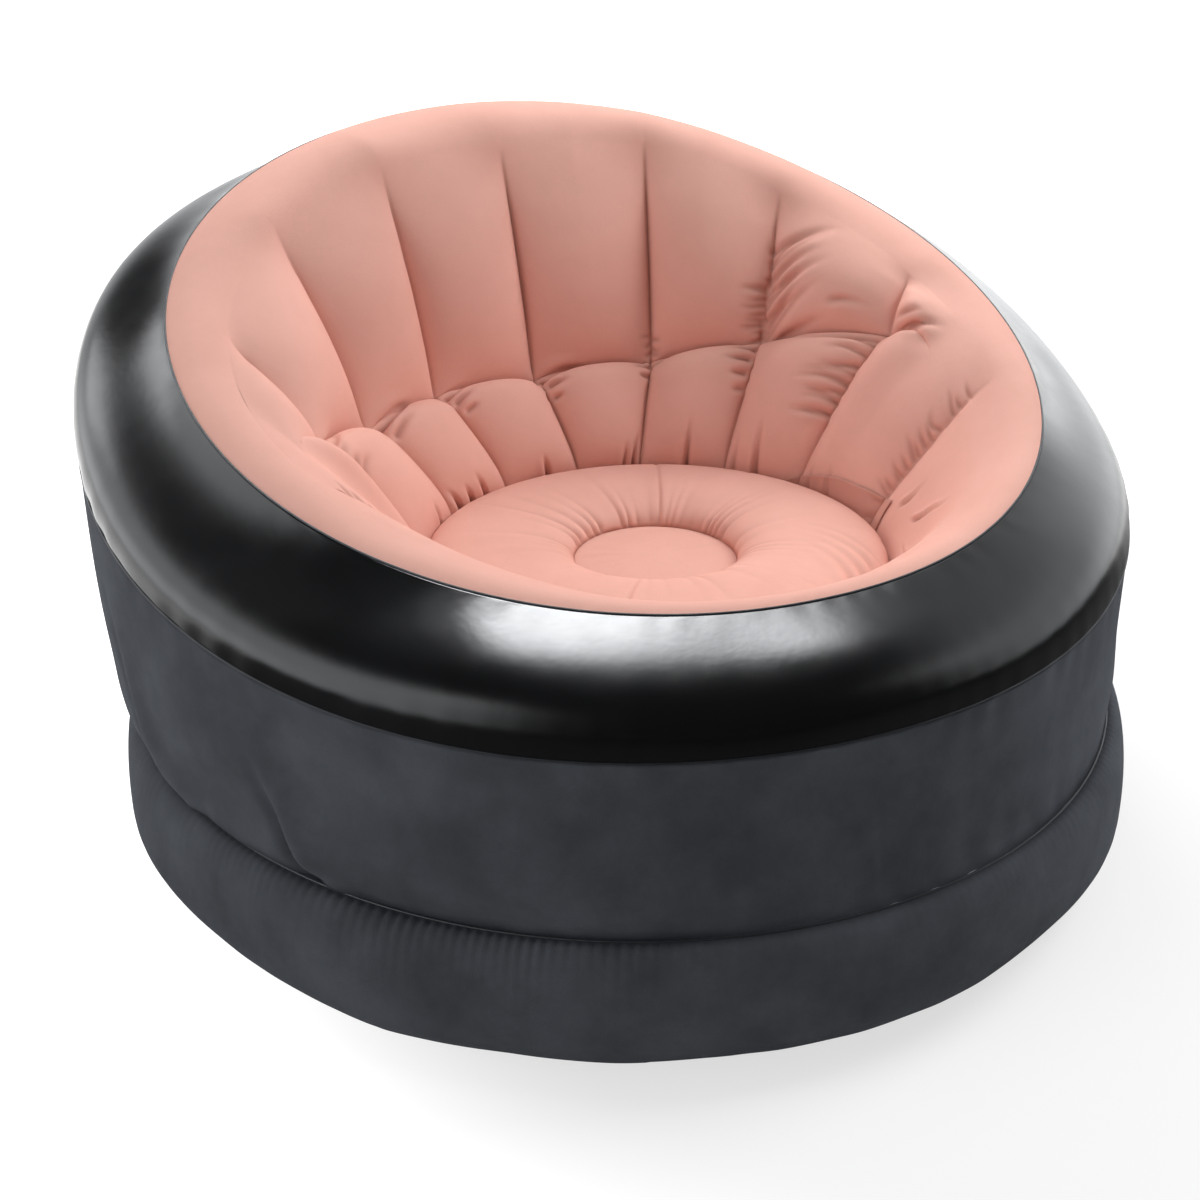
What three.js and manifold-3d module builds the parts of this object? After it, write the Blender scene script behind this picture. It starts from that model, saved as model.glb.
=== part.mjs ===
// Round inflatable lounge chair: a base ring, a raked outer wall and a glossy shoulder band
// carry a bowl-shaped back and seat, all welded from thin vinyl sheet round one air chamber.
// Millimetres, +Z up. The chair stands on the floor at z 0, faces -Y, and the origin lies on
// the floor under the middle of the base ring. Every section of the chair is drawn in an
// upright plane through the seat axis, at an angle that counts from the front towards +X.
import * as THREE from 'three';
import { mergeVertices } from 'three/addons/utils/BufferGeometryUtils.js';
import Module from 'manifold-3d';

const wasm = await Module();
wasm.setup();

// Sheet gauges and the weld line between two panels.
const skinGauge = 0.45;
const webGauge = 0.35;
const floorGauge = 0.5;
const weldGap = 0.3;

// The seat axis stands a little in front of the base's middle.
const seatAxisY = -80;

// Base ring: where it touches the floor, its widest line and the waist groove above it.
const baseCentreY = -6;
const baseRadius = 557;
const baseBulgeHeight = 67;
const contactInset = 101;
const contactRadius = baseRadius - contactInset;
const waistCentreY = -8;
const waistInset = 28;
const waistRadius = baseRadius - waistInset;
const waistFrontHeight = 152;
const waistBackHeight = 168;

// Belt seam, at the widest line of the upper body.
const beltCentreY = 25;
const beltSideInset = 1;
const beltDepthInset = 19;
const beltHalfWidth = baseRadius - beltSideInset;
const beltHalfDepth = baseRadius - beltDepthInset;
const beltFrontHeight = 316;
const beltBackHeight = 620;

// Rim seam, where the glossy shoulder meets the flocked bowl.
const rimCentreY = 27;
const shoulderSideReach = 97;
const shoulderDepthReach = 99;
const shoulderFrontHeight = 83;
const shoulderBackHeight = 65;
const shoulderSwell = 20;
const shoulderSwellAngle = 50;
const shoulderSwellSpreadAngle = 32;
const rimHalfWidth = beltHalfWidth - shoulderSideReach;
const rimHalfDepth = beltHalfDepth - shoulderDepthReach;
const rimFrontHeight = beltFrontHeight + shoulderFrontHeight;
const rimBackHeight = beltBackHeight + shoulderBackHeight;

// Collar: the crest inside the rim seam, then the line on which the back's seams begin.
const crestInset = 38;
const crestLift = 6;
const seamTopCentreY = -10;
const collarSideWidth = 55;
const collarDepthWidth = 95;
const collarFrontDrop = 24;
const collarBackDrop = 18;
const seamTopHalfWidth = rimHalfWidth - collarSideWidth;
const seamTopHalfDepth = rimHalfDepth - collarDepthWidth;
const seamTopFrontHeight = rimFrontHeight - collarFrontDrop;
const seamTopBackHeight = rimBackHeight - collarBackDrop;

// Fold line between the back's channels and the bolster below them.
const foldCentreY = -85;
const foldSideInset = 49;
const foldDepthInset = 10;
const foldHalfWidth = seamTopHalfWidth - foldSideInset;
const foldHalfDepth = seamTopHalfDepth - foldDepthInset;
const foldSideHeight = 90;

// Seat: a ring cushion round a sunk centre disc.
const bolsterWidth = 107;
const seatRadius = foldHalfWidth - bolsterWidth;
const seatSeamHeight = 296;
const seatCrownLift = 29;
const seatFrontLift = 5;
const seatCrownHeight = seatSeamHeight + seatCrownLift;
const discSeatShare = 0.35;
const discRadius = seatRadius * discSeatShare;
const discSeamLift = 2;
const discSeamHeight = seatSeamHeight + discSeamLift;
const discCrown = 5;
const bolsterBackHeight = 95;
const foldBackHeight = seatSeamHeight + bolsterBackHeight;

// Welded seams of the bowl: degrees between them at the middle of the back, how much further
// apart they spread towards the front, and how far the sheet swells between them.
const seamCount = 9;
const seamStepAngle = 22.9;
const seamSpreadAngle = 0.12;
const backSwell = 36;
const bolsterSwell = 27;
const bolsterSeamLift = 12;
const openSwell = 26;
const openLift = 8;

// Internal sheets: a vent is left beside each web so that the whole chamber fills.
const lumbarWebFoot = 62;
const webVent = 14;
const webFootGap = 0.5;

// Valve on the outer wall, between two webs behind the back.
const valveAzimuth = 168.5;
const valveHeightShare = 0.5;
const valveFlangeRadius = 26;
const valveFlangeThickness = 1.2;
const socketBore = 12;
const socketWall = 2;
const socketInnerReach = 16;
const socketOuterReach = 5;
const socketLipRadius = 15.5;
const socketLipHeight = 1.5;
const plugClearance = 0.4;
const plugReach = 14;
const plugLipRadius = 16;
const plugLipHeight = 2;
const plugBore = 6;
const bossRadius = 8.5;
const bossHeight = 3.7;
const strapRingWidth = 2.2;
const strapThickness = 1.2;
const strapWidth = 5;
const strapPostDepth = 2.7;
const capRadius = 9;
const capThickness = 1.5;
const capTabThickness = 1;
const capStubRadius = 5.2;
const capStubLength = 3;
const flapRadius = 7.2;
const flapThickness = 0.8;
const flapHingeReach = 9;
const flapTabWidth = 3;
const flapLugDepth = 1.7;
const flapLugReach = 1.5;
const valveSides = 24;

// Curve exponents and rows of the sections.
const beltRise = 1.5;
const rimRise = 1.19;
const baseRoundness = 2.1;
const wallRoundness = 2.3;
const shoulderSlope = 55;
const shoulderHandleShare = 0.55;
const crestHalfwayShare = 0.5;
const quarterTurn = 90;
const halfTurn = 180;
const fullTurn = 360;
const baseRowAngles = [-90, -58, -28, 0, 32, 62, 90];
const wallRowAngles = [90, 74, 58, 40, 20, 0];
const shoulderRowShares = [0, 0.2, 0.4, 0.6, 0.8, 1];
const backRowShares = [0.2, 0.55, 0.88];
const backSwellShares = [0.56, 1, 0.67];
const bolsterRowShares = [0.14, 0.6];
const bolsterSwellShares = [0.92, 0.9];
const openRowShares = [0.08, 0.23, 0.37, 0.42, 0.5, 0.77];
const openSwellShares = [0.28, 0.67, 0.91, 0.96, 1, 0.84];
const openLiftShares = [0.5, 0.9, 1, 1, 1, 0.9];
const tailShare = 0.7;
const seatRowShares = [0.07, 0.22, 0.5, 0.8, 0.93];
const seatHeightShares = [0.5, 0.86, 1, 0.78, 0.4];
const discRowShare = 0.6;
const discRowCrownShare = 0.75;
const swellRoundness = 0.6;
const channelColumnShares = [-1, -0.75, -0.25, 0.25, 0.75];
const frontColumns = 16;
const frontBlendStartAngle = 75;
const frontBlendEndAngle = 135;
const foldFadeStartAngle = 74;
const foldFadeEndAngle = 96;
const webTopRow = 2;

const rimRing = {
  centreY: rimCentreY,
  halfWidth: rimHalfWidth,
  halfDepth: rimHalfDepth,
  front: rimFrontHeight,
  back: rimBackHeight,
  rise: rimRise,
};
const beltRing = {
  centreY: beltCentreY,
  halfWidth: beltHalfWidth,
  halfDepth: beltHalfDepth,
  front: beltFrontHeight,
  back: beltBackHeight,
  rise: beltRise,
};
const waistRing = {
  centreY: waistCentreY,
  halfWidth: waistRadius,
  halfDepth: waistRadius,
  front: waistFrontHeight,
  back: waistBackHeight,
  rise: 1,
};
const seamTopRing = {
  centreY: seamTopCentreY,
  halfWidth: seamTopHalfWidth,
  halfDepth: seamTopHalfDepth,
  front: seamTopFrontHeight,
  back: seamTopBackHeight,
  rise: 1,
};
const levelRing = (centreY, radius, height) => ({
  centreY,
  halfWidth: radius,
  halfDepth: radius,
  front: height,
  back: height,
  rise: 1,
});
const contactRing = levelRing(baseCentreY, contactRadius, 0);
const bulgeRing = levelRing(baseCentreY, baseRadius, baseBulgeHeight);
const foldRing = levelRing(foldCentreY, foldHalfWidth, foldBackHeight);
foldRing.halfDepth = foldHalfDepth;

const radians = (degrees) => THREE.MathUtils.degToRad(degrees);

// Where an oval ring crosses the section at an angle: distance from the seat axis and height.
function onRing(ring, degrees) {
  const across = Math.sin(radians(degrees));
  const ahead = Math.cos(radians(degrees));
  const offset = ring.centreY - seatAxisY;
  const p = (across / ring.halfWidth) ** 2 + (ahead / ring.halfDepth) ** 2;
  const q = (ahead * offset) / ring.halfDepth ** 2;
  const r = (offset / ring.halfDepth) ** 2 - 1;
  const distance = (-q + Math.sqrt(q * q - p * r)) / p;
  const y = seatAxisY - distance * ahead;
  const depthShare = (y - ring.centreY + ring.halfDepth) / (2 * ring.halfDepth);
  const climb = Math.pow(THREE.MathUtils.clamp(depthShare, 0, 1), ring.rise);
  return new THREE.Vector2(distance, THREE.MathUtils.lerp(ring.front, ring.back, climb));
}

// Unsigned angle from the middle of the back, 0 to 180 degrees.
const fromBack = (degrees) => Math.abs(((degrees % fullTurn) + fullTurn) % fullTurn - halfTurn);
const frontBlend = (degrees) =>
  THREE.MathUtils.smoothstep(fromBack(degrees), frontBlendStartAngle, frontBlendEndAngle);

// The fold line climbs from the back to the sides.
function foldPoint(degrees) {
  const point = onRing(foldRing, degrees);
  point.y += foldSideHeight * (1 - Math.cos(radians(fromBack(degrees))));
  return point;
}

// How far the fold has run out: none behind, and past its ends one open wall.
const foldFade = (degrees) =>
  THREE.MathUtils.smoothstep(fromBack(degrees), foldFadeStartAngle, foldFadeEndAngle);

// Angle from the middle of the back of a place that counts seams, also between two seams.
const seamAngle = (place) => place * seamStepAngle + place ** 3 * seamSpreadAngle;
const lastPlace = (seamCount - 1) / 2;

// Swell across a channel: none at a welded seam, full midway, and it dies out past the
// outermost seams, in the smooth front of the collar.
function channelSwell({ degrees, place }) {
  if (Math.abs(place) >= lastPlace) {
    const beyond = fromBack(degrees) - seamAngle(lastPlace);
    const past = THREE.MathUtils.clamp(beyond / (seamStepAngle * tailShare), 0, 1);
    return Math.pow(1 - (1 - past) ** 2, swellRoundness) * (1 - frontBlend(degrees));
  }
  const inChannel = (place - Math.floor(place)) * 2 - 1;
  return Math.pow(Math.max(1 - inChannel * inChannel, 0), swellRoundness);
}

// Quarter of a rounded corner between two points: at angle 0 it is upright at the widest
// point, at 90 degrees it lies level at the narrow one.
function cornerPoint(narrow, wide, degrees, roundness) {
  const level = Math.pow(Math.cos(radians(Math.abs(degrees))), 2 / roundness);
  const upright = Math.pow(Math.sin(radians(Math.abs(degrees))), 2 / roundness);
  return new THREE.Vector2(
    narrow.x + (wide.x - narrow.x) * level,
    wide.y + (narrow.y - wide.y) * upright,
  );
}

// A point between two others, pushed out square to the line between them.
function raised(from, to, share, lift) {
  const along = to.clone().sub(from).normalize();
  return from.clone().lerp(to, share).add(new THREE.Vector2(along.y, -along.x).multiplyScalar(lift));
}

// The chair's section at an angle, panel by panel, from the middle of the floor outwards, up
// the outside, over the crest and down the bowl to the middle of the seat.
function section(column) {
  const { degrees } = column;
  const contact = onRing(contactRing, degrees);
  const bulge = onRing(bulgeRing, degrees);
  const waist = onRing(waistRing, degrees);
  const belt = onRing(beltRing, degrees);
  const rim = onRing(rimRing, degrees);
  const seamTop = onRing(seamTopRing, degrees);
  const seatEdge = new THREE.Vector2(seatRadius, seatSeamHeight);
  const fold = foldPoint(degrees);
  const swell = channelSwell(column);

  const waistBelow = new THREE.Vector2(waist.x, waist.y - weldGap / 2);
  const waistAbove = new THREE.Vector2(waist.x, waist.y + weldGap / 2);
  const base = baseRowAngles.map((angle) =>
    cornerPoint(angle < 0 ? contact : waistBelow, bulge, angle, baseRoundness));
  const wall = wallRowAngles.map((angle) =>
    cornerPoint(waistAbove, belt, angle, wallRoundness));

  const fall = rim.y - belt.y;
  const reach = belt.x - rim.x;
  const slope = Math.tan(radians(shoulderSlope));
  const rimHandle = shoulderHandleShare * Math.min(reach, fall / slope);
  const shoulderCurve = new THREE.CubicBezierCurve(
    belt,
    new THREE.Vector2(belt.x, belt.y + shoulderHandleShare * fall),
    new THREE.Vector2(rim.x + rimHandle, rim.y - rimHandle * slope),
    rim,
  );
  const sideTurn = (fromBack(degrees) - shoulderSwellAngle) / shoulderSwellSpreadAngle;
  const sideSwell = shoulderSwell * Math.exp(-sideTurn * sideTurn);
  const shoulderOut = raised(belt, rim, 0, sideSwell).sub(belt);
  const shoulder = shoulderRowShares.map((share) => {
    const fullness = Math.sin(radians(halfTurn * share));
    return shoulderCurve.getPoint(share).addScaledVector(shoulderOut, fullness);
  });

  const crest = new THREE.Vector2(rim.x - crestInset, rim.y + crestLift);
  const collarCurve = new THREE.QuadraticBezierCurve(
    rim,
    new THREE.Vector2(rim.x - crestInset * crestHalfwayShare, crest.y),
    crest,
  );
  const folded = [
    ...backRowShares.map((share, i) =>
      raised(seamTop, fold, share, backSwell * backSwellShares[i] * swell)),
    fold,
    ...bolsterRowShares.map((share, i) =>
      raised(fold, seatEdge, share, bolsterSeamLift + bolsterSwell * bolsterSwellShares[i] * swell)),
  ];
  const open = openRowShares.map((share, i) => {
    const lift = openLift * openLiftShares[i] + openSwell * openSwellShares[i] * swell;
    return raised(seamTop, seatEdge, share, lift);
  });
  const bowl = [
    rim,
    collarCurve.getPoint(crestHalfwayShare),
    crest,
    seamTop,
    ...folded.map((point, i) => point.lerp(open[i], foldFade(degrees))),
    seatEdge,
  ];

  const discEdge = new THREE.Vector2(discRadius, discSeamHeight);
  const crownHeight = seatCrownHeight + seatFrontLift * Math.cos(radians(degrees));
  const seat = [
    seatEdge,
    ...seatRowShares.map((share, i) => {
      const point = seatEdge.clone().lerp(discEdge, share);
      point.y += (crownHeight - point.y) * seatHeightShares[i];
      return point;
    }),
    discEdge,
  ];
  const disc = [
    discEdge,
    new THREE.Vector2(discRadius * discRowShare, discSeamHeight + discCrown * discRowCrownShare),
    new THREE.Vector2(0, discSeamHeight + discCrown),
  ];
  return { floor: [new THREE.Vector2(0, 0), contact], base, wall, shoulder, bowl, seat, disc };
}

// Columns: five to a channel between two seams, and even steps round the smooth front.
function makeColumns() {
  const made = [];
  for (let channel = -lastPlace; channel < lastPlace; channel += 1) {
    for (const share of channelColumnShares) {
      const place = channel + (1 + share) / 2;
      made.push({ place, degrees: halfTurn + seamAngle(place) });
    }
  }
  const lastSeam = halfTurn + seamAngle(lastPlace);
  const frontStep = (fullTurn - 2 * seamAngle(lastPlace)) / frontColumns;
  for (let step = 0; step < frontColumns; step += 1) {
    made.push({ place: lastPlace, degrees: lastSeam + step * frontStep });
  }
  return made;
}

const madeColumns = makeColumns();
const sections = madeColumns.map(section);
const columns = madeColumns.map(({ degrees }) => degrees);
const seamColumn = (seam) => seam * channelColumnShares.length;

// A section's point in space.
const inSpace = (point, degrees) => new THREE.Vector3(
  point.x * Math.sin(radians(degrees)),
  seatAxisY - point.x * Math.cos(radians(degrees)),
  point.y,
);

// Rows of one panel: row, then column.
const panelRows = (name) => sections[0][name].map((_, row) =>
  sections.map((cut, column) => inSpace(cut[name][row], columns[column])));

// A closed solid from loose triangles, with shared corners merged and empty faces dropped.
function solidFrom(triangles) {
  const positions = triangles.flat().flatMap((point) => [point.x, point.y, point.z]);
  const loose = new THREE.BufferGeometry();
  loose.setAttribute('position', new THREE.Float32BufferAttribute(positions, 3));
  const merged = mergeVertices(loose);
  const corners = merged.index.array;
  const kept = [];
  for (let i = 0; i < corners.length; i += 3) {
    const [a, b, c] = [corners[i], corners[i + 1], corners[i + 2]];
    if (a !== b && b !== c && c !== a) kept.push(a, b, c);
  }
  merged.setIndex(kept);
  merged.computeVertexNormals();
  return merged;
}

function faceNormal(a, b, c, d) {
  const across = c.clone().sub(a);
  const other = d.clone().sub(b);
  return across.cross(other).normalize();
}

// A sheet of even gauge under a grid of points. `before` and `after` are the rows of the
// panels welded to its two edges: the edges are cut back to leave the weld line, and mitred
// where the neighbour continues the surface. Both faces of a sheet fold along the same
// diagonals, so that the gauge holds where the grid is twisted.
function sheet(rows, gauge, { before = null, after = null, open = false } = {}) {
  const count = rows[0].length;
  const spans = open ? count - 1 : count;
  const next = (column) => (column + 1) % count;
  const outer = rows.map((row) => row.map((point) => point.clone()));
  const strip = (lower, upper) => {
    const faces = [];
    for (let i = 0; i < spans; i += 1) {
      faces.push(faceNormal(lower[i], lower[next(i)], upper[next(i)], upper[i]));
    }
    return faces;
  };
  const strips = [];
  for (let row = 0; row + 1 < rows.length; row += 1) strips.push(strip(rows[row], rows[row + 1]));
  const stripBefore = before && strip(before, rows[0]);
  const stripAfter = after && strip(rows[rows.length - 1], after);

  const beside = (faces, column) => {
    const list = [];
    if (!open || column < spans) list.push(faces[column % spans]);
    if (!open || column > 0) list.push(faces[(column + spans - 1) % spans]);
    return list;
  };
  const inner = rows.map((row, r) => row.map((point, column) => {
    const own = [];
    if (r > 0) own.push(...beside(strips[r - 1], column));
    if (r < strips.length) own.push(...beside(strips[r], column));
    const sum = own.reduce((total, face) => total.add(face), new THREE.Vector3()).normalize();
    const neighbour = r === 0 ? stripBefore : r === rows.length - 1 ? stripAfter : null;
    const faces = [...own];
    if (neighbour) {
      const beyond = beside(neighbour, column);
      const gentle = beyond.every((face) => face.dot(sum) > 0);
      if (gentle) faces.push(...beyond);
    }
    const normal = faces.reduce((total, face) => total.add(face), new THREE.Vector3()).normalize();
    const squareness = Math.max(1 / 2, Math.min(...faces.map((face) => face.dot(normal))));
    return normal.multiplyScalar(gauge / squareness);
  }));

  const cutBack = (row, towards) => row.forEach((point, column) => {
    const along = outer[towards][column].clone().sub(point).normalize();
    point.addScaledVector(along, weldGap / 2);
  });
  if (before) cutBack(outer[0], 1);
  if (after) cutBack(outer[outer.length - 1], outer.length - 2);
  const under = outer.map((row, r) => row.map((point, column) => point.clone().sub(inner[r][column])));

  const triangles = [];
  const quad = (a, b, c, d) => triangles.push([a, b, c], [a, c, d]);
  const last = outer.length - 1;
  for (let i = 0; i < spans; i += 1) {
    const j = next(i);
    for (let row = 0; row < last; row += 1) {
      quad(outer[row][i], outer[row][j], outer[row + 1][j], outer[row + 1][i]);
      quad(under[row][i], under[row + 1][i], under[row + 1][j], under[row][j]);
    }
    quad(outer[0][j], outer[0][i], under[0][i], under[0][j]);
    quad(outer[last][i], outer[last][j], under[last][j], under[last][i]);
  }
  if (open) {
    for (let row = 0; row < last; row += 1) {
      quad(outer[row + 1][0], under[row + 1][0], under[row][0], outer[row][0]);
      quad(outer[row][count - 1], under[row][count - 1], under[row + 1][count - 1],
        outer[row + 1][count - 1]);
    }
  }
  return { geometry: solidFrom(triangles), under };
}

const rows = {};
for (const name of ['floor', 'base', 'wall', 'shoulder', 'bowl', 'seat', 'disc']) {
  rows[name] = panelRows(name);
}
const floorSheet = sheet(rows.floor, floorGauge, { after: rows.base[1] });
const baseWall = sheet(rows.base, skinGauge, { before: rows.floor[0] });
const upperWall = sheet(rows.wall, skinGauge, { after: rows.shoulder[1] });
const shoulderBand = sheet(rows.shoulder, skinGauge, {
  before: rows.wall[rows.wall.length - 2],
  after: rows.bowl[1],
});
const bowlPanel = sheet(rows.bowl, skinGauge, {
  before: rows.shoulder[rows.shoulder.length - 2],
  after: rows.seat[1],
});
const seatRing = sheet(rows.seat, skinGauge, {
  before: rows.bowl[rows.bowl.length - 2],
  after: rows.disc[1],
});
const centreDisc = sheet(rows.disc, skinGauge, { before: rows.seat[rows.seat.length - 2] });

// Joins and cuts of closed solids.
function toManifold(geometry) {
  const plain = geometry.clone();
  plain.deleteAttribute('normal');
  plain.deleteAttribute('uv');
  const merged = mergeVertices(plain);
  return new wasm.Manifold(new wasm.Mesh({
    numProp: 3,
    vertProperties: new Float32Array(merged.attributes.position.array),
    triVerts: new Uint32Array(merged.index.array),
  }));
}

function fromManifold(manifold) {
  const mesh = manifold.getMesh();
  const geometry = new THREE.BufferGeometry();
  geometry.setAttribute('position', new THREE.Float32BufferAttribute(mesh.vertProperties, 3));
  geometry.setIndex(Array.from(mesh.triVerts));
  geometry.computeVertexNormals();
  return geometry;
}

const joined = (a, b) => fromManifold(toManifold(a).add(toManifold(b)));
const cut = (a, b) => fromManifold(toManifold(a).subtract(toManifold(b)));

// A ring or a disc turned from an outline of radius and height pairs.
const turned = (outline) => new THREE.LatheGeometry(
  [...outline, outline[0]].map(([radius, height]) => new THREE.Vector2(radius, height)),
  valveSides,
).rotateX(radians(quarterTurn));

const block = (width, depth, height, x, y, z) =>
  new THREE.BoxGeometry(width, depth, height).translate(x, y, z);

// The valve's own frame: its origin on the wall's outer face, +Z straight out of the wall.
const valveColumn = columns.findIndex((angle, i) =>
  angle < valveAzimuth && columns[i + 1] > valveAzimuth);
const valveRow = wallRowAngles.length - 3;
const wallCorner = (row, column) => rows.wall[row][column];
const valveFace = [
  wallCorner(valveRow, valveColumn),
  wallCorner(valveRow, valveColumn + 1),
  wallCorner(valveRow + 1, valveColumn + 1),
  wallCorner(valveRow + 1, valveColumn),
];
const valveOut = faceNormal(...valveFace);
const valveAcross = new THREE.Vector3(-valveOut.y, valveOut.x, 0).normalize();
const valveUp = valveOut.clone().cross(valveAcross);
const valveLow = valveFace[0].clone().lerp(valveFace[1], 1 / 2);
const valveHigh = valveFace[3].clone().lerp(valveFace[2], 1 / 2);
const valvePlace = valveLow.lerp(valveHigh, valveHeightShare);
const valveFrame = new THREE.Matrix4()
  .makeBasis(valveAcross, valveUp, valveOut)
  .setPosition(valvePlace);

const socketRadius = socketBore + socketWall;
const flangeTop = -(skinGauge + weldGap);
const wallHole = turned([
  [0, -socketInnerReach],
  [socketRadius + weldGap, -socketInnerReach],
  [socketRadius + weldGap, socketOuterReach],
  [0, socketOuterReach],
]).applyMatrix4(valveFrame);
const valveSocket = turned([
  [socketBore, -socketInnerReach],
  [socketRadius, -socketInnerReach],
  [socketRadius, flangeTop - valveFlangeThickness],
  [valveFlangeRadius, flangeTop - valveFlangeThickness],
  [valveFlangeRadius, flangeTop],
  [socketRadius, flangeTop],
  [socketRadius, socketOuterReach - socketLipHeight],
  [socketLipRadius, socketOuterReach - socketLipHeight],
  [socketLipRadius, socketOuterReach],
  [socketBore, socketOuterReach],
]);

// Deflation plug: a stopper in the socket, with a boss that the inflation cap closes and a
// lug at its inner end for the check flap.
const plugLipFoot = socketOuterReach + weldGap;
const plugLipTop = plugLipFoot + plugLipHeight;
const bossTop = plugLipTop + bossHeight;
const plugRadius = socketBore - plugClearance;
const plugBody = turned([
  [plugBore, -plugReach],
  [plugRadius, -plugReach],
  [plugRadius, plugLipFoot],
  [plugLipRadius, plugLipFoot],
  [plugLipRadius, plugLipTop],
  [bossRadius, plugLipTop],
  [bossRadius, bossTop],
  [plugBore, bossTop],
]);
const lugInner = flapHingeReach + weldGap;
const deflationPlug = joined(plugBody, block(
  flapTabWidth,
  flapLugDepth,
  flapLugReach * 2,
  0,
  lugInner + flapLugDepth / 2,
  -plugReach,
));

// Strap: a ring round the boss with a post that the cap hinges on.
const strapFoot = plugLipTop + weldGap;
const strapInner = bossRadius + weldGap;
const strapOuter = strapInner + strapRingWidth;
const postOuter = strapOuter + strapPostDepth;
const postTop = bossTop - weldGap;
const strapRing = turned([
  [strapInner, strapFoot],
  [strapOuter, strapFoot],
  [strapOuter, strapFoot + strapThickness],
  [strapInner, strapFoot + strapThickness],
]);
const strapPost = block(
  strapWidth,
  postOuter - strapInner - strapRingWidth / 2,
  postTop - strapFoot,
  0,
  -(postOuter + strapInner + strapRingWidth / 2) / 2,
  (postTop + strapFoot) / 2,
);
const capStrap = joined(strapRing, strapPost);

// Inflation cap: a lid with a short stub in the boss's bore and a tab to the strap's post.
const capFoot = bossTop + weldGap;
const capLid = turned([
  [0, capFoot - capStubLength],
  [capStubRadius, capFoot - capStubLength],
  [capStubRadius, capFoot],
  [capRadius, capFoot],
  [capRadius, capFoot + capThickness],
  [0, capFoot + capThickness],
]);
const capTab = block(
  strapWidth,
  postOuter - capRadius + capThickness,
  capTabThickness,
  0,
  -(postOuter + capRadius - capThickness) / 2,
  capFoot + capTabThickness / 2,
);
const inflationCap = joined(capLid, capTab);

// Check flap: a disc under the plug's bore, hung from its upper edge.
const flapTop = -(plugReach + weldGap);
const flapDisc = turned([
  [0, flapTop - flapThickness],
  [flapRadius, flapTop - flapThickness],
  [flapRadius, flapTop],
  [0, flapTop],
]);
const flapTab = block(
  flapTabWidth,
  flapHingeReach - flapRadius + flapThickness,
  flapThickness,
  0,
  (flapHingeReach + flapRadius - flapThickness) / 2,
  flapTop - flapThickness / 2,
);
const checkFlap = joined(flapDisc, flapTab);

// Height of the waist's level sheet at a place between the chair's front and back.
const waistHeightAt = (y) => {
  const share = (y - waistCentreY + waistRadius) / (2 * waistRadius);
  return THREE.MathUtils.lerp(waistFrontHeight, waistBackHeight, share);
};
const onWaistSheet = (distance, degrees) => {
  const place = inSpace(new THREE.Vector2(distance, 0), degrees);
  return place.setZ(waistHeightAt(place.y));
};

// Waist diaphragm: the sheet that draws the waist groove in, open round the centre sleeve.
const sleeveRadius = discRadius - webGauge;
const diaphragmRows = [
  columns.map((degrees) => onWaistSheet(
    onRing(waistRing, degrees).x - skinGauge - weldGap, degrees)),
  columns.map((degrees) => onWaistSheet(sleeveRadius + webGauge + weldGap, degrees)),
];
const waistDiaphragm = sheet(diaphragmRows, webGauge);

// Centre sleeve: holds the centre disc's seam down to the floor sheet.
const centreSleeve = sheet([
  columns.map((degrees) => inSpace(new THREE.Vector2(sleeveRadius, floorGauge + weldGap), degrees)),
  columns.map((degrees) => inSpace(
    new THREE.Vector2(sleeveRadius, discSeamHeight - skinGauge * 2 - weldGap), degrees)),
], webGauge);

// Seat sleeve: holds the seam between bolster and seat ring down to the waist diaphragm.
const seatSleeve = sheet([
  columns.map((degrees) => onWaistSheet(seatRadius, degrees).add(
    new THREE.Vector3(0, 0, webFootGap))),
  columns.map((degrees) => inSpace(
    new THREE.Vector2(seatRadius, seatSeamHeight - skinGauge * 2 - weldGap), degrees)),
], webGauge);

// Lumbar web: holds the fold line down to the waist diaphragm, and ends where the fold fades.
const foldRow = rows.bowl.length - bolsterRowShares.length - 2;
const seamedColumns = columns.slice(0, seamColumn(seamCount - 1) + 1);
const outwards = (degrees) =>
  new THREE.Vector3(Math.sin(radians(degrees)), -Math.cos(radians(degrees)), 0);

// Distance from the seat axis and height of a point, in the section plane at an angle.
function inSection(point, degrees) {
  const out = outwards(degrees);
  return new THREE.Vector2(point.x * out.x + (point.y - seatAxisY) * out.y, point.z);
}

const lumbarTop = seamedColumns.map((degrees, column) => {
  const fold = inSection(bowlPanel.under[foldRow][column], degrees);
  fold.y -= weldGap;
  return fold;
});
const lumbarFoot = seamedColumns.map((degrees, column) => onWaistSheet(
  lumbarTop[column].x + lumbarWebFoot, degrees).add(new THREE.Vector3(0, 0, webFootGap)));
const lumbarStart = seamedColumns.findIndex((degrees) => foldFade(degrees) === 0);
const lumbarWeb = sheet([
  lumbarFoot,
  lumbarTop.map((point, column) => inSpace(point, seamedColumns[column])),
].map((row) => row.slice(lumbarStart, row.length - lumbarStart)), webGauge, { open: true });

// A flat web in the section plane at an angle, cut to an outline of distances and heights.
function radialWeb(outline, degrees) {
  const geometry = new THREE.ExtrudeGeometry(new THREE.Shape(outline), {
    depth: webGauge,
    bevelEnabled: false,
    steps: 1,
  });
  geometry.translate(0, 0, -webGauge / 2);
  const out = outwards(degrees);
  const up = new THREE.Vector3(0, 0, 1);
  geometry.applyMatrix4(new THREE.Matrix4()
    .makeBasis(out, up, out.clone().cross(up))
    .setPosition(0, seatAxisY, 0));
  return geometry;
}

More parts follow.
